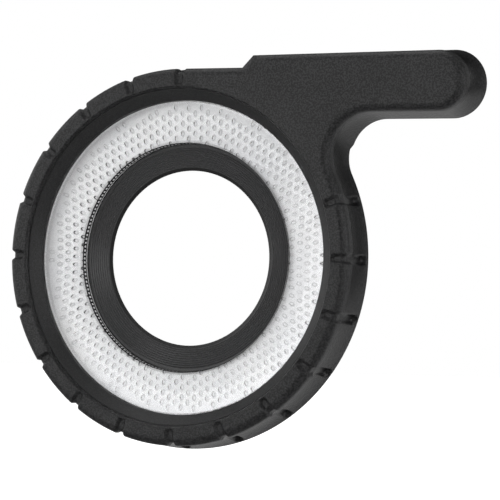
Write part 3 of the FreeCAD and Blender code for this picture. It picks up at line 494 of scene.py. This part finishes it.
def paint_shade_on_sides(material):
    """Paints shade into a material's colour by depth and polishes it, from the crease to the rear
    edge.
    """
    tree = material.node_tree
    color = tree.nodes["Principled BSDF"].inputs["Base Color"]
    roughness = tree.nodes["Principled BSDF"].inputs["Roughness"]
    full_color = color.links[0].from_socket
    full_roughness = roughness.links[0].from_socket
    place = add_node(tree, "ShaderNodeTexCoord")
    split = add_node(tree, "ShaderNodeSeparateXYZ")
    depth = add_node(tree, "ShaderNodeMapRange")
    depth.inputs["From Min"].default_value = row_point(0.0, 0.0, 0.0)[1]
    depth.inputs["From Max"].default_value = row_point(0.0, 0.0, SHADE_DEPTH)[1]
    shades = add_node(tree, "ShaderNodeValToRGB")
    elements = shades.color_ramp.elements
    while len(elements) > 1:
        elements.remove(elements[-1])
    for index, (at_depth, shade) in enumerate(SIDE_PAINTED_SHADES):
        element = elements.new(at_depth / SHADE_DEPTH) if index else elements[0]
        element.position = at_depth / SHADE_DEPTH
        element.color = (shade, shade, shade, 1.0)
    darker = add_node(tree, "ShaderNodeMix", data_type="RGBA", blend_type="MULTIPLY")
    darker.inputs[0].default_value = 1.0
    polish = add_node(tree, "ShaderNodeMapRange", interpolation_type="SMOOTHSTEP")
    polish.inputs["From Min"].default_value = row_point(0.0, 0.0, POLISH_FROM)[1]
    polish.inputs["From Max"].default_value = row_point(0.0, 0.0, POLISH_TO)[1]
    smoother = add_node(tree, "ShaderNodeMix", data_type="FLOAT")
    smoother.inputs[3].default_value = POLISHED
    links(
        tree,
        (place.outputs["Object"], split.inputs[0]),
        (split.outputs["Y"], polish.inputs["Value"]),
        (polish.outputs["Result"], smoother.inputs[0]),
        (full_roughness, smoother.inputs[2]),
        (smoother.outputs[0], roughness),
        (split.outputs["Y"], depth.inputs["Value"]),
        (depth.outputs["Result"], shades.inputs["Fac"]),
        (full_color, darker.inputs[6]),
        (shades.outputs["Color"], darker.inputs[7]),
        (darker.outputs[2], color),
    )


front_cover = make_front_cover()
paint_shade_on_sides(textured_black)
front_cover.data.materials.append(textured_black)
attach(front_cover, "root")
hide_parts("front_cover")


# The outer bezel is the thin black ABS cone between the cover and the clear ring. It is
# pressed into the cover's opening, so its joint shows as one hairline, and its mould was
# only vapour-blasted, which leaves it smoother than the cover.
CONE_CORNERS = (
    (22.745, 1.55), (22.745, 0.66), (22.73, 0.63), (22.69, 0.62), (22.64, 0.63),
    (22.58, 0.67), (21.34, 1.72), (21.295, 1.77), (21.275, 1.82), (21.27, 1.90),
    (21.27, 2.70), (23.90, 2.70), (23.90, 1.55),
)
CONE_COLUMNS = 720
CONE_SMOOTH = math.radians(32)

smooth_black = make_plastic(
    "smooth_black_plastic", dark=(0.014, 0.014, 0.0143), light=(0.032, 0.032, 0.033),
    grain=0.12, height=0.004, dull=0.54, bright=0.46,
)


def make_cone():
    """A closed skin turned about the lens axis from the (radius, depth) corners."""
    mesh = bmesh.new()
    turns = [math.tau * step / CONE_COLUMNS for step in range(CONE_COLUMNS)]
    ways = [(math.cos(angle), math.sin(angle)) for angle in turns]
    rings = []
    for radius, depth in CONE_CORNERS:
        rings.append([
            mesh.verts.new(row_point(radius * x, radius * z, depth)) for x, z in ways
        ])
    rings.append(rings[0])
    close_row(mesh, rings)
    bmesh.ops.recalc_face_normals(mesh, faces=mesh.faces)
    piece = make_piece(mesh, "outer_bezel_cone")
    select_only(piece)
    bpy.ops.object.shade_smooth_by_angle(angle=CONE_SMOOTH)
    return piece


outer_bezel = make_cone()
outer_bezel.data.materials.append(smooth_black)
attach(outer_bezel, "root")
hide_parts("outer_bezel")


# The light guide is the clear ring that spreads the light, with the bar that leads the light
# in through the arm. It is one acrylic moulding that lies between the cone and the white
# reflector. Rows of small pits in its back throw the light out of the front.
BORE, WINDOW = 15.5, 21.22
BACK = ((BORE, 4.0), (16.93, 4.1125), (18.36, 4.15), (19.79, 4.05), (WINDOW, 3.75))
RING_COLUMNS = 1080
BACK_ROWS = 56
SMOOTH_SHADE = 0.5

PIT_PITCH = 1.11
PIT_MIDDLE = 18.35
PIT_STRETCH = 1.25
PIT_LONG = 0.50
PIT_WIDE = 0.30
PIT_DEEP = 0.17
PIT_ROWS = 26
PIT_INNER, PIT_OUTER = 15.78, 20.72
PIT_CLEAR = 0.04
PIT_STEEP = 1.5
# How strong each pit's painted shade and painted highlight are, changing slowly from pit to pit.
SHADE_EVEN, SHADE_UNEVEN = 0.75, 0.25
SHADE_BY_RADIUS, SHADE_BY_ANGLE = 37.0, 91.0
CORE_GROWTH, CORE_FROM = 2.5, 1.5


def pit_places():
    """A triangular net of pits, drawn out along the radius about the middle of the ring."""
    for column in range(-PIT_ROWS, PIT_ROWS + 1):
        for row in range(-PIT_ROWS, PIT_ROWS + 1):
            x = column * PIT_PITCH * math.sqrt(3) / 2
            z = (row + 0.5 * (column % 2)) * PIT_PITCH
            flat = math.hypot(x, z)
            radius = PIT_MIDDLE + (flat - PIT_MIDDLE) * PIT_STRETCH
            if PIT_INNER < radius < PIT_OUTER:
                yield radius, math.atan2(z, x) % math.tau


def back_depth(radius):
    """Depth of the clear ring's back at a radius."""
    for (inner, near), (outer, far) in zip(BACK, BACK[1:]):
        if radius <= outer:
            return near + (far - near) * (radius - inner) / (outer - inner)
    return BACK[-1][1]


def pitted_back():
    """The ring's back on a fine round grid with the pits pressed in: radii, depths, shades.

    A shade is painted light: 0 is painted shade on a pit's steep rim, 1 a painted highlight on
    its round core, and a half the smooth back.
    """
    radii = [BORE + (WINDOW - BORE) * row / BACK_ROWS for row in range(BACK_ROWS + 1)]
    depths = [[back_depth(radius)] * RING_COLUMNS for radius in radii]
    shades = [[SMOOTH_SHADE] * RING_COLUMNS for radius in radii]
    row_step = (WINDOW - BORE) / BACK_ROWS
    turn_step = math.tau / RING_COLUMNS
    for radius, angle in pit_places():
        long = min(PIT_LONG, radius - BORE - PIT_CLEAR, WINDOW - radius - PIT_CLEAR)
        low_row = max(math.ceil((radius - long - BORE) / row_step), 1)
        high_row = min(math.floor((radius + long - BORE) / row_step), BACK_ROWS - 1)
        reach = PIT_WIDE / radius
        wave = math.sin(SHADE_BY_RADIUS * radius + SHADE_BY_ANGLE * angle)
        strength = SHADE_EVEN + SHADE_UNEVEN * wave
        low_column = math.ceil((angle - reach) / turn_step)
        high_column = math.floor((angle + reach) / turn_step)
        for row in range(low_row, high_row + 1):
            along = (radii[row] - radius) / long
            for column in range(low_column, high_column + 1):
                across = (column * turn_step - angle) * radius / PIT_WIDE
                inside = 1.0 - along * along - across * across
                if inside > 0.0:
                    # Painted shade is darkest halfway down the pit's rim, and the core gets a
                    # painted highlight.
                    here = column % RING_COLUMNS
                    depths[row][here] -= PIT_DEEP * inside ** PIT_STEEP
                    rim = 4.0 * inside * (1.0 - inside) * strength
                    core = max(CORE_GROWTH * inside - CORE_FROM, 0.0) * strength
                    shades[row][here] += SMOOTH_SHADE * (core - rim)
    return radii, depths, shades


# The rest of the ring: its flange under the cone, its sloping front and its rounded bore.
GUIDE_FLANGE, FLANGE_FRONT, FLANGE_BACK = 23.0, 2.75, 3.75
GUIDE_FRONT = 2.13
FRONT_EDGE = 21.14
FRONT_EDGE_ROUND = ((0.0, 0.08), (0.02, 0.03), (0.07, 0.015))
FRONT_RADII = (20.8, 20.0, 18.4, 16.8, 16.0)
FRONT_FALL = 0.95
BORE_ROUND = 0.3
BORE_TURNS = (8, 23, 38, 53, 68, 83)
BORE_DEPTHS = (3.45, 3.52, 3.59, 3.66, 3.73, 3.80, 3.9)
# Painted beads on the bore's wall: painted highlights in a painted dark band.
BEAD_COLUMNS = 6
BEAD_DEPTH = 3.50
BEAD_TALL = 0.32
BEAD_WIDE = 0.42


def front_depth(radius):
    """Depth of the clear ring's sloping front at a radius."""
    return GUIDE_FRONT + FRONT_FALL * (FRONT_EDGE - radius) / (FRONT_EDGE - BORE)


def front_and_bore():
    """The ring's (radius, depth) corners in front of its back: flange and front, then bore."""
    front = [(GUIDE_FLANGE, FLANGE_BACK), (GUIDE_FLANGE, FLANGE_FRONT), (WINDOW, FLANGE_FRONT)]
    front += [(FRONT_EDGE - inset, GUIDE_FRONT + depth) for inset, depth in FRONT_EDGE_ROUND]
    front += [(radius, front_depth(radius)) for radius in FRONT_RADII]
    bore = []
    round_from = front_depth(BORE + BORE_ROUND)
    for turn in BORE_TURNS:
        across, along = math.sin(math.radians(turn)), math.cos(math.radians(turn))
        bore.append((BORE + BORE_ROUND * (1.0 - across), round_from + BORE_ROUND * (1.0 - along)))
    bore += [(BORE, depth) for depth in BORE_DEPTHS]
    return front, bore


def painted_bead_shade(column, depth):
    """Painted light of the beads on the bore's wall: painted shade at 0 between them, a painted
    highlight at 1 in their middle.
    """
    along = (depth - BEAD_DEPTH) / BEAD_TALL
    across = ((column % BEAD_COLUMNS) / BEAD_COLUMNS - 0.5) / BEAD_WIDE
    return max(1.0 - along * along - across * across, 0.0)


def make_pitted_ring():
    """The clear ring with its flange, as one closed skin turned about the lens axis."""
    radii, depths, shades = pitted_back()
    front, bore = front_and_bore()
    mesh = bmesh.new()
    tone = mesh.verts.layers.float.new("painted_pit_shade")
    turns = [math.tau * column / RING_COLUMNS for column in range(RING_COLUMNS)]
    ways = [(math.cos(angle), math.sin(angle)) for angle in turns]
    rings = []
    for radius, depth in front + bore:
        rings.append([
            mesh.verts.new(row_point(radius * x, radius * z, depth)) for x, z in ways
        ])
    for radius, row in zip(radii, depths):
        rings.append([
            mesh.verts.new(row_point(radius * x, radius * z, depth))
            for (x, z), depth in zip(ways, row)
        ])
    for ring in rings[:len(front)]:
        for point in ring:
            point[tone] = SMOOTH_SHADE
    for (_, depth), ring in zip(bore, rings[len(front):]):
        for column, point in enumerate(ring):
            point[tone] = painted_bead_shade(column, depth)
    for ring, row in zip(rings[-len(radii):], shades):
        for point, shade in zip(ring, row):
            point[tone] = shade
    rings.append(rings[0])
    close_row(mesh, rings)
    return make_piece(mesh, "clear_light_guide")


# The bar in the arm, with a slanted end that turns the light, and the boss that takes it in.
BAR_CORNERS = (
    (38.3, 21.7), (38.3, 25.1), (13.5, 25.1), (6.79, 20.89), (16.33, 14.70), (25.0, 21.7),
)
SLANTED_CORNERS = 2
BAR_BACK = 4.6
INLET = Vector((36.9, 23.4))
INLET_RADIUS = 1.4
INLET_BACK = 6.6
INLET_OVERLAP = 0.6
INLET_COLUMNS = 64


def join_solid(piece, other):
    """Fuses another solid into a piece."""
    select_only(piece)
    union = piece.modifiers.new("joined", "BOOLEAN")
    union.operation = "UNION"
    union.solver = "MANIFOLD"
    union.object = other
    bpy.ops.object.modifier_apply(modifier=union.name)
    bpy.data.objects.remove(other)


def make_bar():
    """The bar, whose first two corners are the slanted end, with the boss fused to it."""
    mesh = bmesh.new()
    slant = BAR_BACK - FLANGE_FRONT
    back = [mesh.verts.new(row_point(x, z, BAR_BACK)) for x, z in BAR_CORNERS]
    front = []
    for index, (x, z) in enumerate(BAR_CORNERS):
        front_x = x - slant if index < SLANTED_CORNERS else x
        front.append(mesh.verts.new(row_point(front_x, z, FLANGE_FRONT)))
    mesh.faces.new(back)
    mesh.faces.new(front[::-1])
    close_row(mesh, [front, back])
    bmesh.ops.recalc_face_normals(mesh, faces=mesh.faces)
    bar = make_piece(mesh, "bar")
    bpy.ops.object.select_all(action="DESELECT")
    long = (INLET_BACK - BAR_BACK + INLET_OVERLAP) * MM
    end = Vector(row_point(INLET.x, INLET.y, INLET_BACK))
    bpy.ops.mesh.primitive_cylinder_add(
        vertices=INLET_COLUMNS, radius=INLET_RADIUS * MM, depth=long,
        location=end - Vector((0.0, long / 2, 0.0)), rotation=(math.pi / 2, 0.0, 0.0),
    )
    boss = bpy.context.active_object
    bpy.ops.object.transform_apply(location=True, rotation=True, scale=True)
    join_solid(bar, boss)
    return bar


# Its finishes: clear with painted shade on each pit's rim and a painted highlight in its
# core, a white coat on the flange, which the cone hides, and a painted dark band with
# painted white beads on the bore's wall, where the inmost pits shine.
PIT_RIM_PAINTED_SHADE = 0.55
BACK_TONE = 0.97
CLEAR_WAVE = 0.002
COAT_SOFT = 0.01
BEADED_OUT = 0.12
BEADED_BACK = 3.95
GUIDE_SMOOTH = math.radians(50)


def make_clear_plastic():
    """Clear acrylic, which lets light straight through to what lies behind it."""
    material, tree, shader, surface = start_material("clear_plastic", grain=0.6)
    shader.inputs["Transmission Weight"].default_value = 1.0
    bump = add_node(tree, "ShaderNodeBump")
    bump.inputs["Distance"].default_value = CLEAR_WAVE * MM
    # The pits' painted light: a darker tint on each rim and a painted highlight in each core.
    pits = add_node(tree, "ShaderNodeAttribute", attribute_name="painted_pit_shade")
    tones = add_node(tree, "ShaderNodeValToRGB")
    tones.color_ramp.elements[0].color = (*[PIT_RIM_PAINTED_SHADE] * 3, 1.0)
    tones.color_ramp.elements[1].color = (1.0, 1.0, 1.0, 1.0)
    level = tones.color_ramp.elements.new(SMOOTH_SHADE)
    level.color = (*[BACK_TONE] * 3, 1.0)
    tint = add_node(tree, "ShaderNodeMix", data_type="RGBA", blend_type="MULTIPLY")
    tint.inputs[0].default_value = 1.0
    cast = ramp(tree, surface.outputs["Patches"], (0.96, 0.965, 0.975), (1.0, 1.0, 1.0))
    roughness = span(tree, surface.outputs["Patches"], 0.13, 0.18)
    path = add_node(tree, "ShaderNodeLightPath")
    open_way = add_node(tree, "ShaderNodeBsdfTransparent")
    mix = add_node(tree, "ShaderNodeMixShader")
    end = tree.nodes["Material Output"]
    links(
        tree,
        (surface.outputs["Patches"], bump.inputs["Height"]),
        (bump.outputs["Normal"], shader.inputs["Normal"]),
        (pits.outputs["Fac"], tones.inputs["Fac"]),
        (tones.outputs["Color"], tint.inputs[6]),
        (cast, tint.inputs[7]),
        (tint.outputs[2], shader.inputs["Base Color"]),
        (roughness, shader.inputs["Roughness"]),
        (path.outputs["Is Shadow Ray"], mix.inputs["Fac"]),
        (shader.outputs["BSDF"], mix.inputs[1]),
        (open_way.outputs["BSDF"], mix.inputs[2]),
        (mix.outputs["Shader"], end.inputs["Surface"]),
    )
    return material


def make_painted_bead_edge():
    # An opaque edge painted with the clear bore's look: a painted dark band for the black cone
    # seen through it, with painted white beads for the inmost pits that shine.
    material, tree, shader, surface = start_material("painted_bead_edge", grain=0.3)
    beads = add_node(tree, "ShaderNodeAttribute", attribute_name="painted_pit_shade")
    color = ramp(tree, beads.outputs["Fac"], (0.02, 0.02, 0.021), (0.95, 0.95, 0.96))
    roughness = span(tree, surface.outputs["Patches"], 0.25, 0.12)
    links(
        tree,
        (color, shader.inputs["Base Color"]),
        (roughness, shader.inputs["Roughness"]),
    )
    return material


clear_plastic = make_clear_plastic()
white_plastic = make_plastic(
    "white_plastic", dark=(0.90, 0.90, 0.905), light=(0.95, 0.95, 0.955),
    grain=0.3, height=0.002, dull=0.45, bright=0.35,
)
painted_bead_edge = make_painted_bead_edge()


def coat_edges(ring):
    """Gives the flange its white coat and the bore's wall its painted dark band with painted
    beads.
    """
    for face in ring.data.polygons:
        spots = [ring.data.vertices[index].co for index in face.vertices]
        radii = [math.hypot(spot.x, spot.z) / MM for spot in spots]
        depths = [spot.y / MM + DEPTH_OF_SEAT for spot in spots]
        if min(radii) > WINDOW - COAT_SOFT:
            face.material_index = 1
        elif max(radii) < BORE + BEADED_OUT and max(depths) < BEADED_BACK:
            face.material_index = 2


def make_light_guide():
    ring = make_pitted_ring()
    for material in (clear_plastic, white_plastic, painted_bead_edge):
        ring.data.materials.append(material)
    coat_edges(ring)
    face_outwards(ring)
    join_solid(ring, make_bar())
    select_only(ring)
    bpy.ops.object.shade_smooth_by_angle(angle=GUIDE_SMOOTH)
    return ring


light_guide = make_light_guide()
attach(light_guide, "root")
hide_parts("light_guide")


# Behind the clear ring lies a white reflector, and a second one lies round the bar in the
# arm. Both are thin mouldings in white ABS that send back the light that leaves the guide,
# and the rear cover holds them against it with a rib and a rest.
def finish_node(name, material):
    """Gives a piece that comes from the solids its material."""
    nodes[name].data.materials.clear()
    nodes[name].data.materials.append(material)


finish_node("ring_reflector", white_plastic)
finish_node("arm_reflector", white_plastic)


# The inner bezel is the shallow cone round the lens opening, held by a flange behind the
# clear ring. It is matt black ABS, and fine turned grooves keep light from glancing off it
# into the lens. The plain lip inside the grooves gets painted shade in its colour.
LIP_RADIUS = 12.35
LIP_SOFT = 0.05
LIP_SHADE_COLOR = (0.007, 0.007, 0.0072, 1.0)

grooved_black = make_plastic(
    "grooved_black_plastic", dark=(0.040, 0.040, 0.041), light=(0.064, 0.064, 0.065),
    grain=0.12, height=0.004, dull=0.40, bright=0.32,
)


def paint_lip_shade(material):
    """Paints shade into a material's colour inside the lip's radius about the lens axis."""
    tree = material.node_tree
    color = tree.nodes["Principled BSDF"].inputs["Base Color"]
    full_color = color.links[0].from_socket
    place = add_node(tree, "ShaderNodeTexCoord")
    split = add_node(tree, "ShaderNodeSeparateXYZ")
    flat = add_node(tree, "ShaderNodeCombineXYZ")
    length = add_node(tree, "ShaderNodeVectorMath", operation="LENGTH")
    edge = add_node(tree, "ShaderNodeMapRange", interpolation_type="SMOOTHSTEP")
    edge.inputs["From Min"].default_value = (LIP_RADIUS - LIP_SOFT) * MM
    edge.inputs["From Max"].default_value = (LIP_RADIUS + LIP_SOFT) * MM
    mix = add_node(tree, "ShaderNodeMix", data_type="RGBA")
    mix.inputs[6].default_value = LIP_SHADE_COLOR
    links(
        tree,
        (place.outputs["Object"], split.inputs[0]),
        (split.outputs["X"], flat.inputs["X"]),
        (split.outputs["Z"], flat.inputs["Z"]),
        (flat.outputs[0], length.inputs[0]),
        (length.outputs["Value"], edge.inputs["Value"]),
        (edge.outputs["Result"], mix.inputs[0]),
        (full_color, mix.inputs[7]),
        (mix.outputs[2], color),
    )


paint_lip_shade(grooved_black)
finish_node("inner_bezel", grooved_black)


# The rear cover closes the housing from behind and carries the screw bosses. It is a black
# ABS shell with a matt grain, and it snaps into the front cover with five small beads.
matt_black = make_plastic(
    "matt_black_plastic", dark=(0.012, 0.012, 0.0125), light=(0.024, 0.024, 0.025),
    grain=0.18, height=0.010, dull=0.58, bright=0.50,
)
finish_node("rear_cover", matt_black)


# The bayonet ring turns onto the camera with its three lugs. It is moulded in black plastic
# with a satin surface that slides well, and screwed to the rear cover.
bayonet_black = make_plastic(
    "bayonet_black_plastic", dark=(0.011, 0.011, 0.0115), light=(0.02, 0.02, 0.0205),
    grain=0.15, height=0.005, dull=0.45, bright=0.36,
)
finish_node("bayonet_ring", bayonet_black)


# The inlet gasket keeps stray light out where the guide meets the camera's lamp. It is a
# ring punched from black foam with open cells, set in a pocket in the arm's back.
black_foam = make_plastic(
    "black_foam", dark=(0.008, 0.008, 0.008), light=(0.02, 0.02, 0.02),
    grain=0.12, height=0.05, dull=0.95, bright=0.85, specular=0.3,
)
finish_node("inlet_gasket", black_foam)


# Four countersunk screws hold the bayonet ring on the rear cover. They are blackened steel,
# with the slight unevenness that the blackening bath leaves.
black_steel = make_plastic(
    "black_steel", dark=(0.03, 0.03, 0.032), light=(0.05, 0.05, 0.052),
    grain=0.25, height=0.002, dull=0.42, bright=0.30,
)
finish_node("bayonet_screws", black_steel)


# The studio floor is a pale matt sheet a little way below the object, which keeps the
# object's shadow. The camera sees it almost white. Gloss sees only a pale strip of it behind
# the object, and the rest is as dim as the room.
FLOOR_SIZE = 12.0
FLOOR_BELOW = 62.0
FLOOR_ROUGH = 0.9
FLOOR_GLOW = 0.7
FLOOR_DIM = 0.05
STRIP_NEAR = (0.012, 0.045)
STRIP_FAR = (0.16, 0.28)


def fade(tree, value, between, before, after):
    """A soft step as the value goes between two numbers, from before to after."""
    step = add_node(tree, "ShaderNodeMapRange", interpolation_type="SMOOTHSTEP")
    step.inputs["From Min"].default_value = between[0]
    step.inputs["From Max"].default_value = between[1]
    step.inputs["To Min"].default_value = before
    step.inputs["To Max"].default_value = after
    tree.links.new(value, step.inputs["Value"])
    return step.outputs["Result"]


def make_floor():
    bpy.ops.object.select_all(action="DESELECT")
    bpy.ops.mesh.primitive_plane_add(
        size=FLOOR_SIZE, location=(0.0, 0.0, -FLOOR_BELOW * MM),
    )
    floor = bpy.context.active_object
    floor.name = "studio_floor"
    material = bpy.data.materials.new("studio_floor")
    material.use_nodes = True
    tree = material.node_tree
    shader = tree.nodes["Principled BSDF"]
    shader.inputs["Roughness"].default_value = FLOOR_ROUGH
    shader.inputs["Emission Color"].default_value = (1.0, 1.0, 1.0, 1.0)
    place = add_node(tree, "ShaderNodeTexCoord")
    noise = add_node(tree, "ShaderNodeTexNoise")
    noise.inputs["Scale"].default_value = 6.0
    pale = ramp(tree, noise.outputs["Fac"], (0.88, 0.88, 0.88), (0.90, 0.90, 0.90))
    path = add_node(tree, "ShaderNodeLightPath")
    either = add_node(tree, "ShaderNodeMath", operation="MAXIMUM")
    glow = add_node(tree, "ShaderNodeMath", operation="MULTIPLY")
    glow.inputs[1].default_value = FLOOR_GLOW
    dim = add_node(tree, "ShaderNodeMix", data_type="RGBA")
    dim.inputs[7].default_value = (FLOOR_DIM, FLOOR_DIM, FLOOR_DIM, 1.0)
    split = add_node(tree, "ShaderNodeSeparateXYZ")
    near = fade(tree, split.outputs["Y"], STRIP_NEAR, 1.0, 0.0)
    far = fade(tree, split.outputs["Y"], STRIP_FAR, 0.0, 1.0)
    outside = add_node(tree, "ShaderNodeMath", operation="ADD")
    masked = add_node(tree, "ShaderNodeMath", operation="MULTIPLY")
    links(
        tree,
        (place.outputs["Object"], noise.inputs["Vector"]),
        (place.outputs["Object"], split.inputs[0]),
        (near, outside.inputs[0]),
        (far, outside.inputs[1]),
        (path.outputs["Is Glossy Ray"], masked.inputs[0]),
        (outside.outputs[0], masked.inputs[1]),
        (masked.outputs[0], dim.inputs[0]),
        (pale, dim.inputs[6]),
        (dim.outputs[2], shader.inputs["Base Color"]),
        (path.outputs["Is Camera Ray"], either.inputs[0]),
        (path.outputs["Is Transmission Ray"], either.inputs[1]),
        (either.outputs[0], glow.inputs[0]),
        (glow.outputs[0], shader.inputs["Emission Strength"]),
    )
    floor.data.materials.append(material)


make_floor()


# The room is white to the camera and through clear plastic, and lights the rest evenly.
# Gloss sees a white window behind the object, a white panel at the left and one at the front
# right, and otherwise a dim room. Directions go from -1 to 1: X to the right, Y to the back.
ROOM_LIGHT = 0.70
ROOM_DIM = 0.06
BACKDROP = 1.15
BACKDROP_BEHIND = (0.78, 0.95)
WINDOW_LEFT = (0.10, 0.34)
WINDOW_RIGHT = (0.50, 0.66)
LEFT_PANEL, LEFT_PANEL_SIDE = 1.5, (-0.75, -0.92)
RIGHT_PANEL, RIGHT_PANEL_SIDE = 1.6, (0.60, 0.85)
PANELS_IN_FRONT = (-0.28, -0.48)


def make_world():
    world = bpy.data.worlds.new("studio")
    scene.world = world
    world.use_nodes = True
    tree = world.node_tree
    back = tree.nodes["Background"]
    back.inputs["Color"].default_value = (1.0, 1.0, 1.0, 1.0)
    path = add_node(tree, "ShaderNodeLightPath")
    where = add_node(tree, "ShaderNodeTexCoord")
    split = add_node(tree, "ShaderNodeSeparateXYZ")
    across, behind = split.outputs["X"], split.outputs["Y"]
    backdrop = fade(tree, behind, BACKDROP_BEHIND, ROOM_DIM, BACKDROP)
    left_edge = fade(tree, across, WINDOW_LEFT, ROOM_DIM / BACKDROP, 1.0)
    right_edge = fade(tree, across, WINDOW_RIGHT, 1.0, ROOM_DIM / BACKDROP)
    left_panel = fade(tree, across, LEFT_PANEL_SIDE, 0.0, LEFT_PANEL)
    right_panel = fade(tree, across, RIGHT_PANEL_SIDE, 0.0, RIGHT_PANEL)
    in_front = fade(tree, behind, PANELS_IN_FRONT, 0.0, 1.0)
    window = add_node(tree, "ShaderNodeMath", operation="MULTIPLY")
    lit_window = add_node(tree, "ShaderNodeMath", operation="MULTIPLY")
    panels = add_node(tree, "ShaderNodeMath", operation="MULTIPLY_ADD")
    gloss = add_node(tree, "ShaderNodeMath", operation="ADD")
    plain = add_node(tree, "ShaderNodeMix", data_type="FLOAT")
    plain.inputs[2].default_value = ROOM_LIGHT
    white = add_node(tree, "ShaderNodeMath", operation="MAXIMUM")
    level = add_node(tree, "ShaderNodeMix", data_type="FLOAT")
    level.inputs[3].default_value = 1.0
    links(
        tree,
        (where.outputs["Generated"], split.inputs[0]),
        (left_edge, window.inputs[0]),
        (right_edge, window.inputs[1]),
        (backdrop, lit_window.inputs[0]),
        (window.outputs[0], lit_window.inputs[1]),
        (right_panel, panels.inputs[0]),
        (in_front, panels.inputs[1]),
        (left_panel, panels.inputs[2]),
        (lit_window.outputs[0], gloss.inputs[0]),
        (panels.outputs[0], gloss.inputs[1]),
        (path.outputs["Is Glossy Ray"], plain.inputs[0]),
        (gloss.outputs[0], plain.inputs[3]),
        (path.outputs["Is Camera Ray"], white.inputs[0]),
        (path.outputs["Is Transmission Ray"], white.inputs[1]),
        (white.outputs[0], level.inputs[0]),
        (plain.outputs[0], level.inputs[2]),
        (level.outputs[0], back.inputs["Strength"]),
    )


make_world()


# Four plain soft lamps stand round the object, about a metre away: a key light at the front
# left, two at the right that show the sides, and one overhead.
def add_lamp(name, place, aim, size, power):
    data = bpy.data.lights.new(name, "AREA")
    data.shape = "RECTANGLE"
    data.size, data.size_y = size
    data.energy = power
    lamp = bpy.data.objects.new(name, data)
    scene.collection.objects.link(lamp)
    lamp.location = place
    lamp.rotation_euler = (Vector(aim) - Vector(place)).to_track_quat("-Z", "Y").to_euler()


add_lamp(
    "front_left_softbox",
    place=(-0.50, -0.78, 0.06), aim=(0, 0, 0), size=(0.6, 0.5), power=2.4,
)
add_lamp(
    "right_strip",
    place=(0.9, 0.08, 0.15), aim=(0.03, 0, 0), size=(0.42, 0.6), power=1.35,
)
add_lamp(
    "right_front_fill",
    place=(0.8, -0.56, 0.1), aim=(0, 0, 0), size=(0.5, 0.5), power=0.8,
)
add_lamp(
    "overhead_softbox",
    place=(-0.3, -0.05, 0.95), aim=(0, 0, 0), size=(0.8, 0.6), power=3.0,
)


# The camera stands to the right of the object and looks slightly up at it through a long
# lens. Its place is in millimetres, and its focal length is given in pixels of the picture.
CAMERA_PLACE = (191.37, -382.63, -12.18)
YAW, PITCH, ROLL = math.radians(25.594), math.radians(1.807), math.radians(1.5195)
FOCAL_PIXELS = 3132.7
PICTURE = 500
SENSOR = 36.0
SHIFT_X, SHIFT_Y = -0.001, 0.001
CLIP_NEAR, CLIP_FAR = 0.01, 100.0


def make_camera():
    level = math.cos(PITCH)
    forward = Vector((-math.sin(YAW) * level, math.cos(YAW) * level, math.sin(PITCH)))
    right = Vector((math.cos(YAW), math.sin(YAW), 0.0))
    up = right.cross(forward)
    turned_right = math.cos(ROLL) * right + math.sin(ROLL) * up
    turned_up = -math.sin(ROLL) * right + math.cos(ROLL) * up
    data = bpy.data.cameras.new("camera")
    data.sensor_width = SENSOR
    data.lens = FOCAL_PIXELS * SENSOR / PICTURE
    data.shift_x, data.shift_y = SHIFT_X, SHIFT_Y
    data.clip_start, data.clip_end = CLIP_NEAR, CLIP_FAR
    camera = bpy.data.objects.new("camera", data)
    scene.collection.objects.link(camera)
    axes = Matrix((turned_right, turned_up, -forward)).transposed().to_4x4()
    camera.matrix_world = Matrix.Translation(Vector(CAMERA_PLACE) * MM) @ axes
    scene.camera = camera


make_camera()
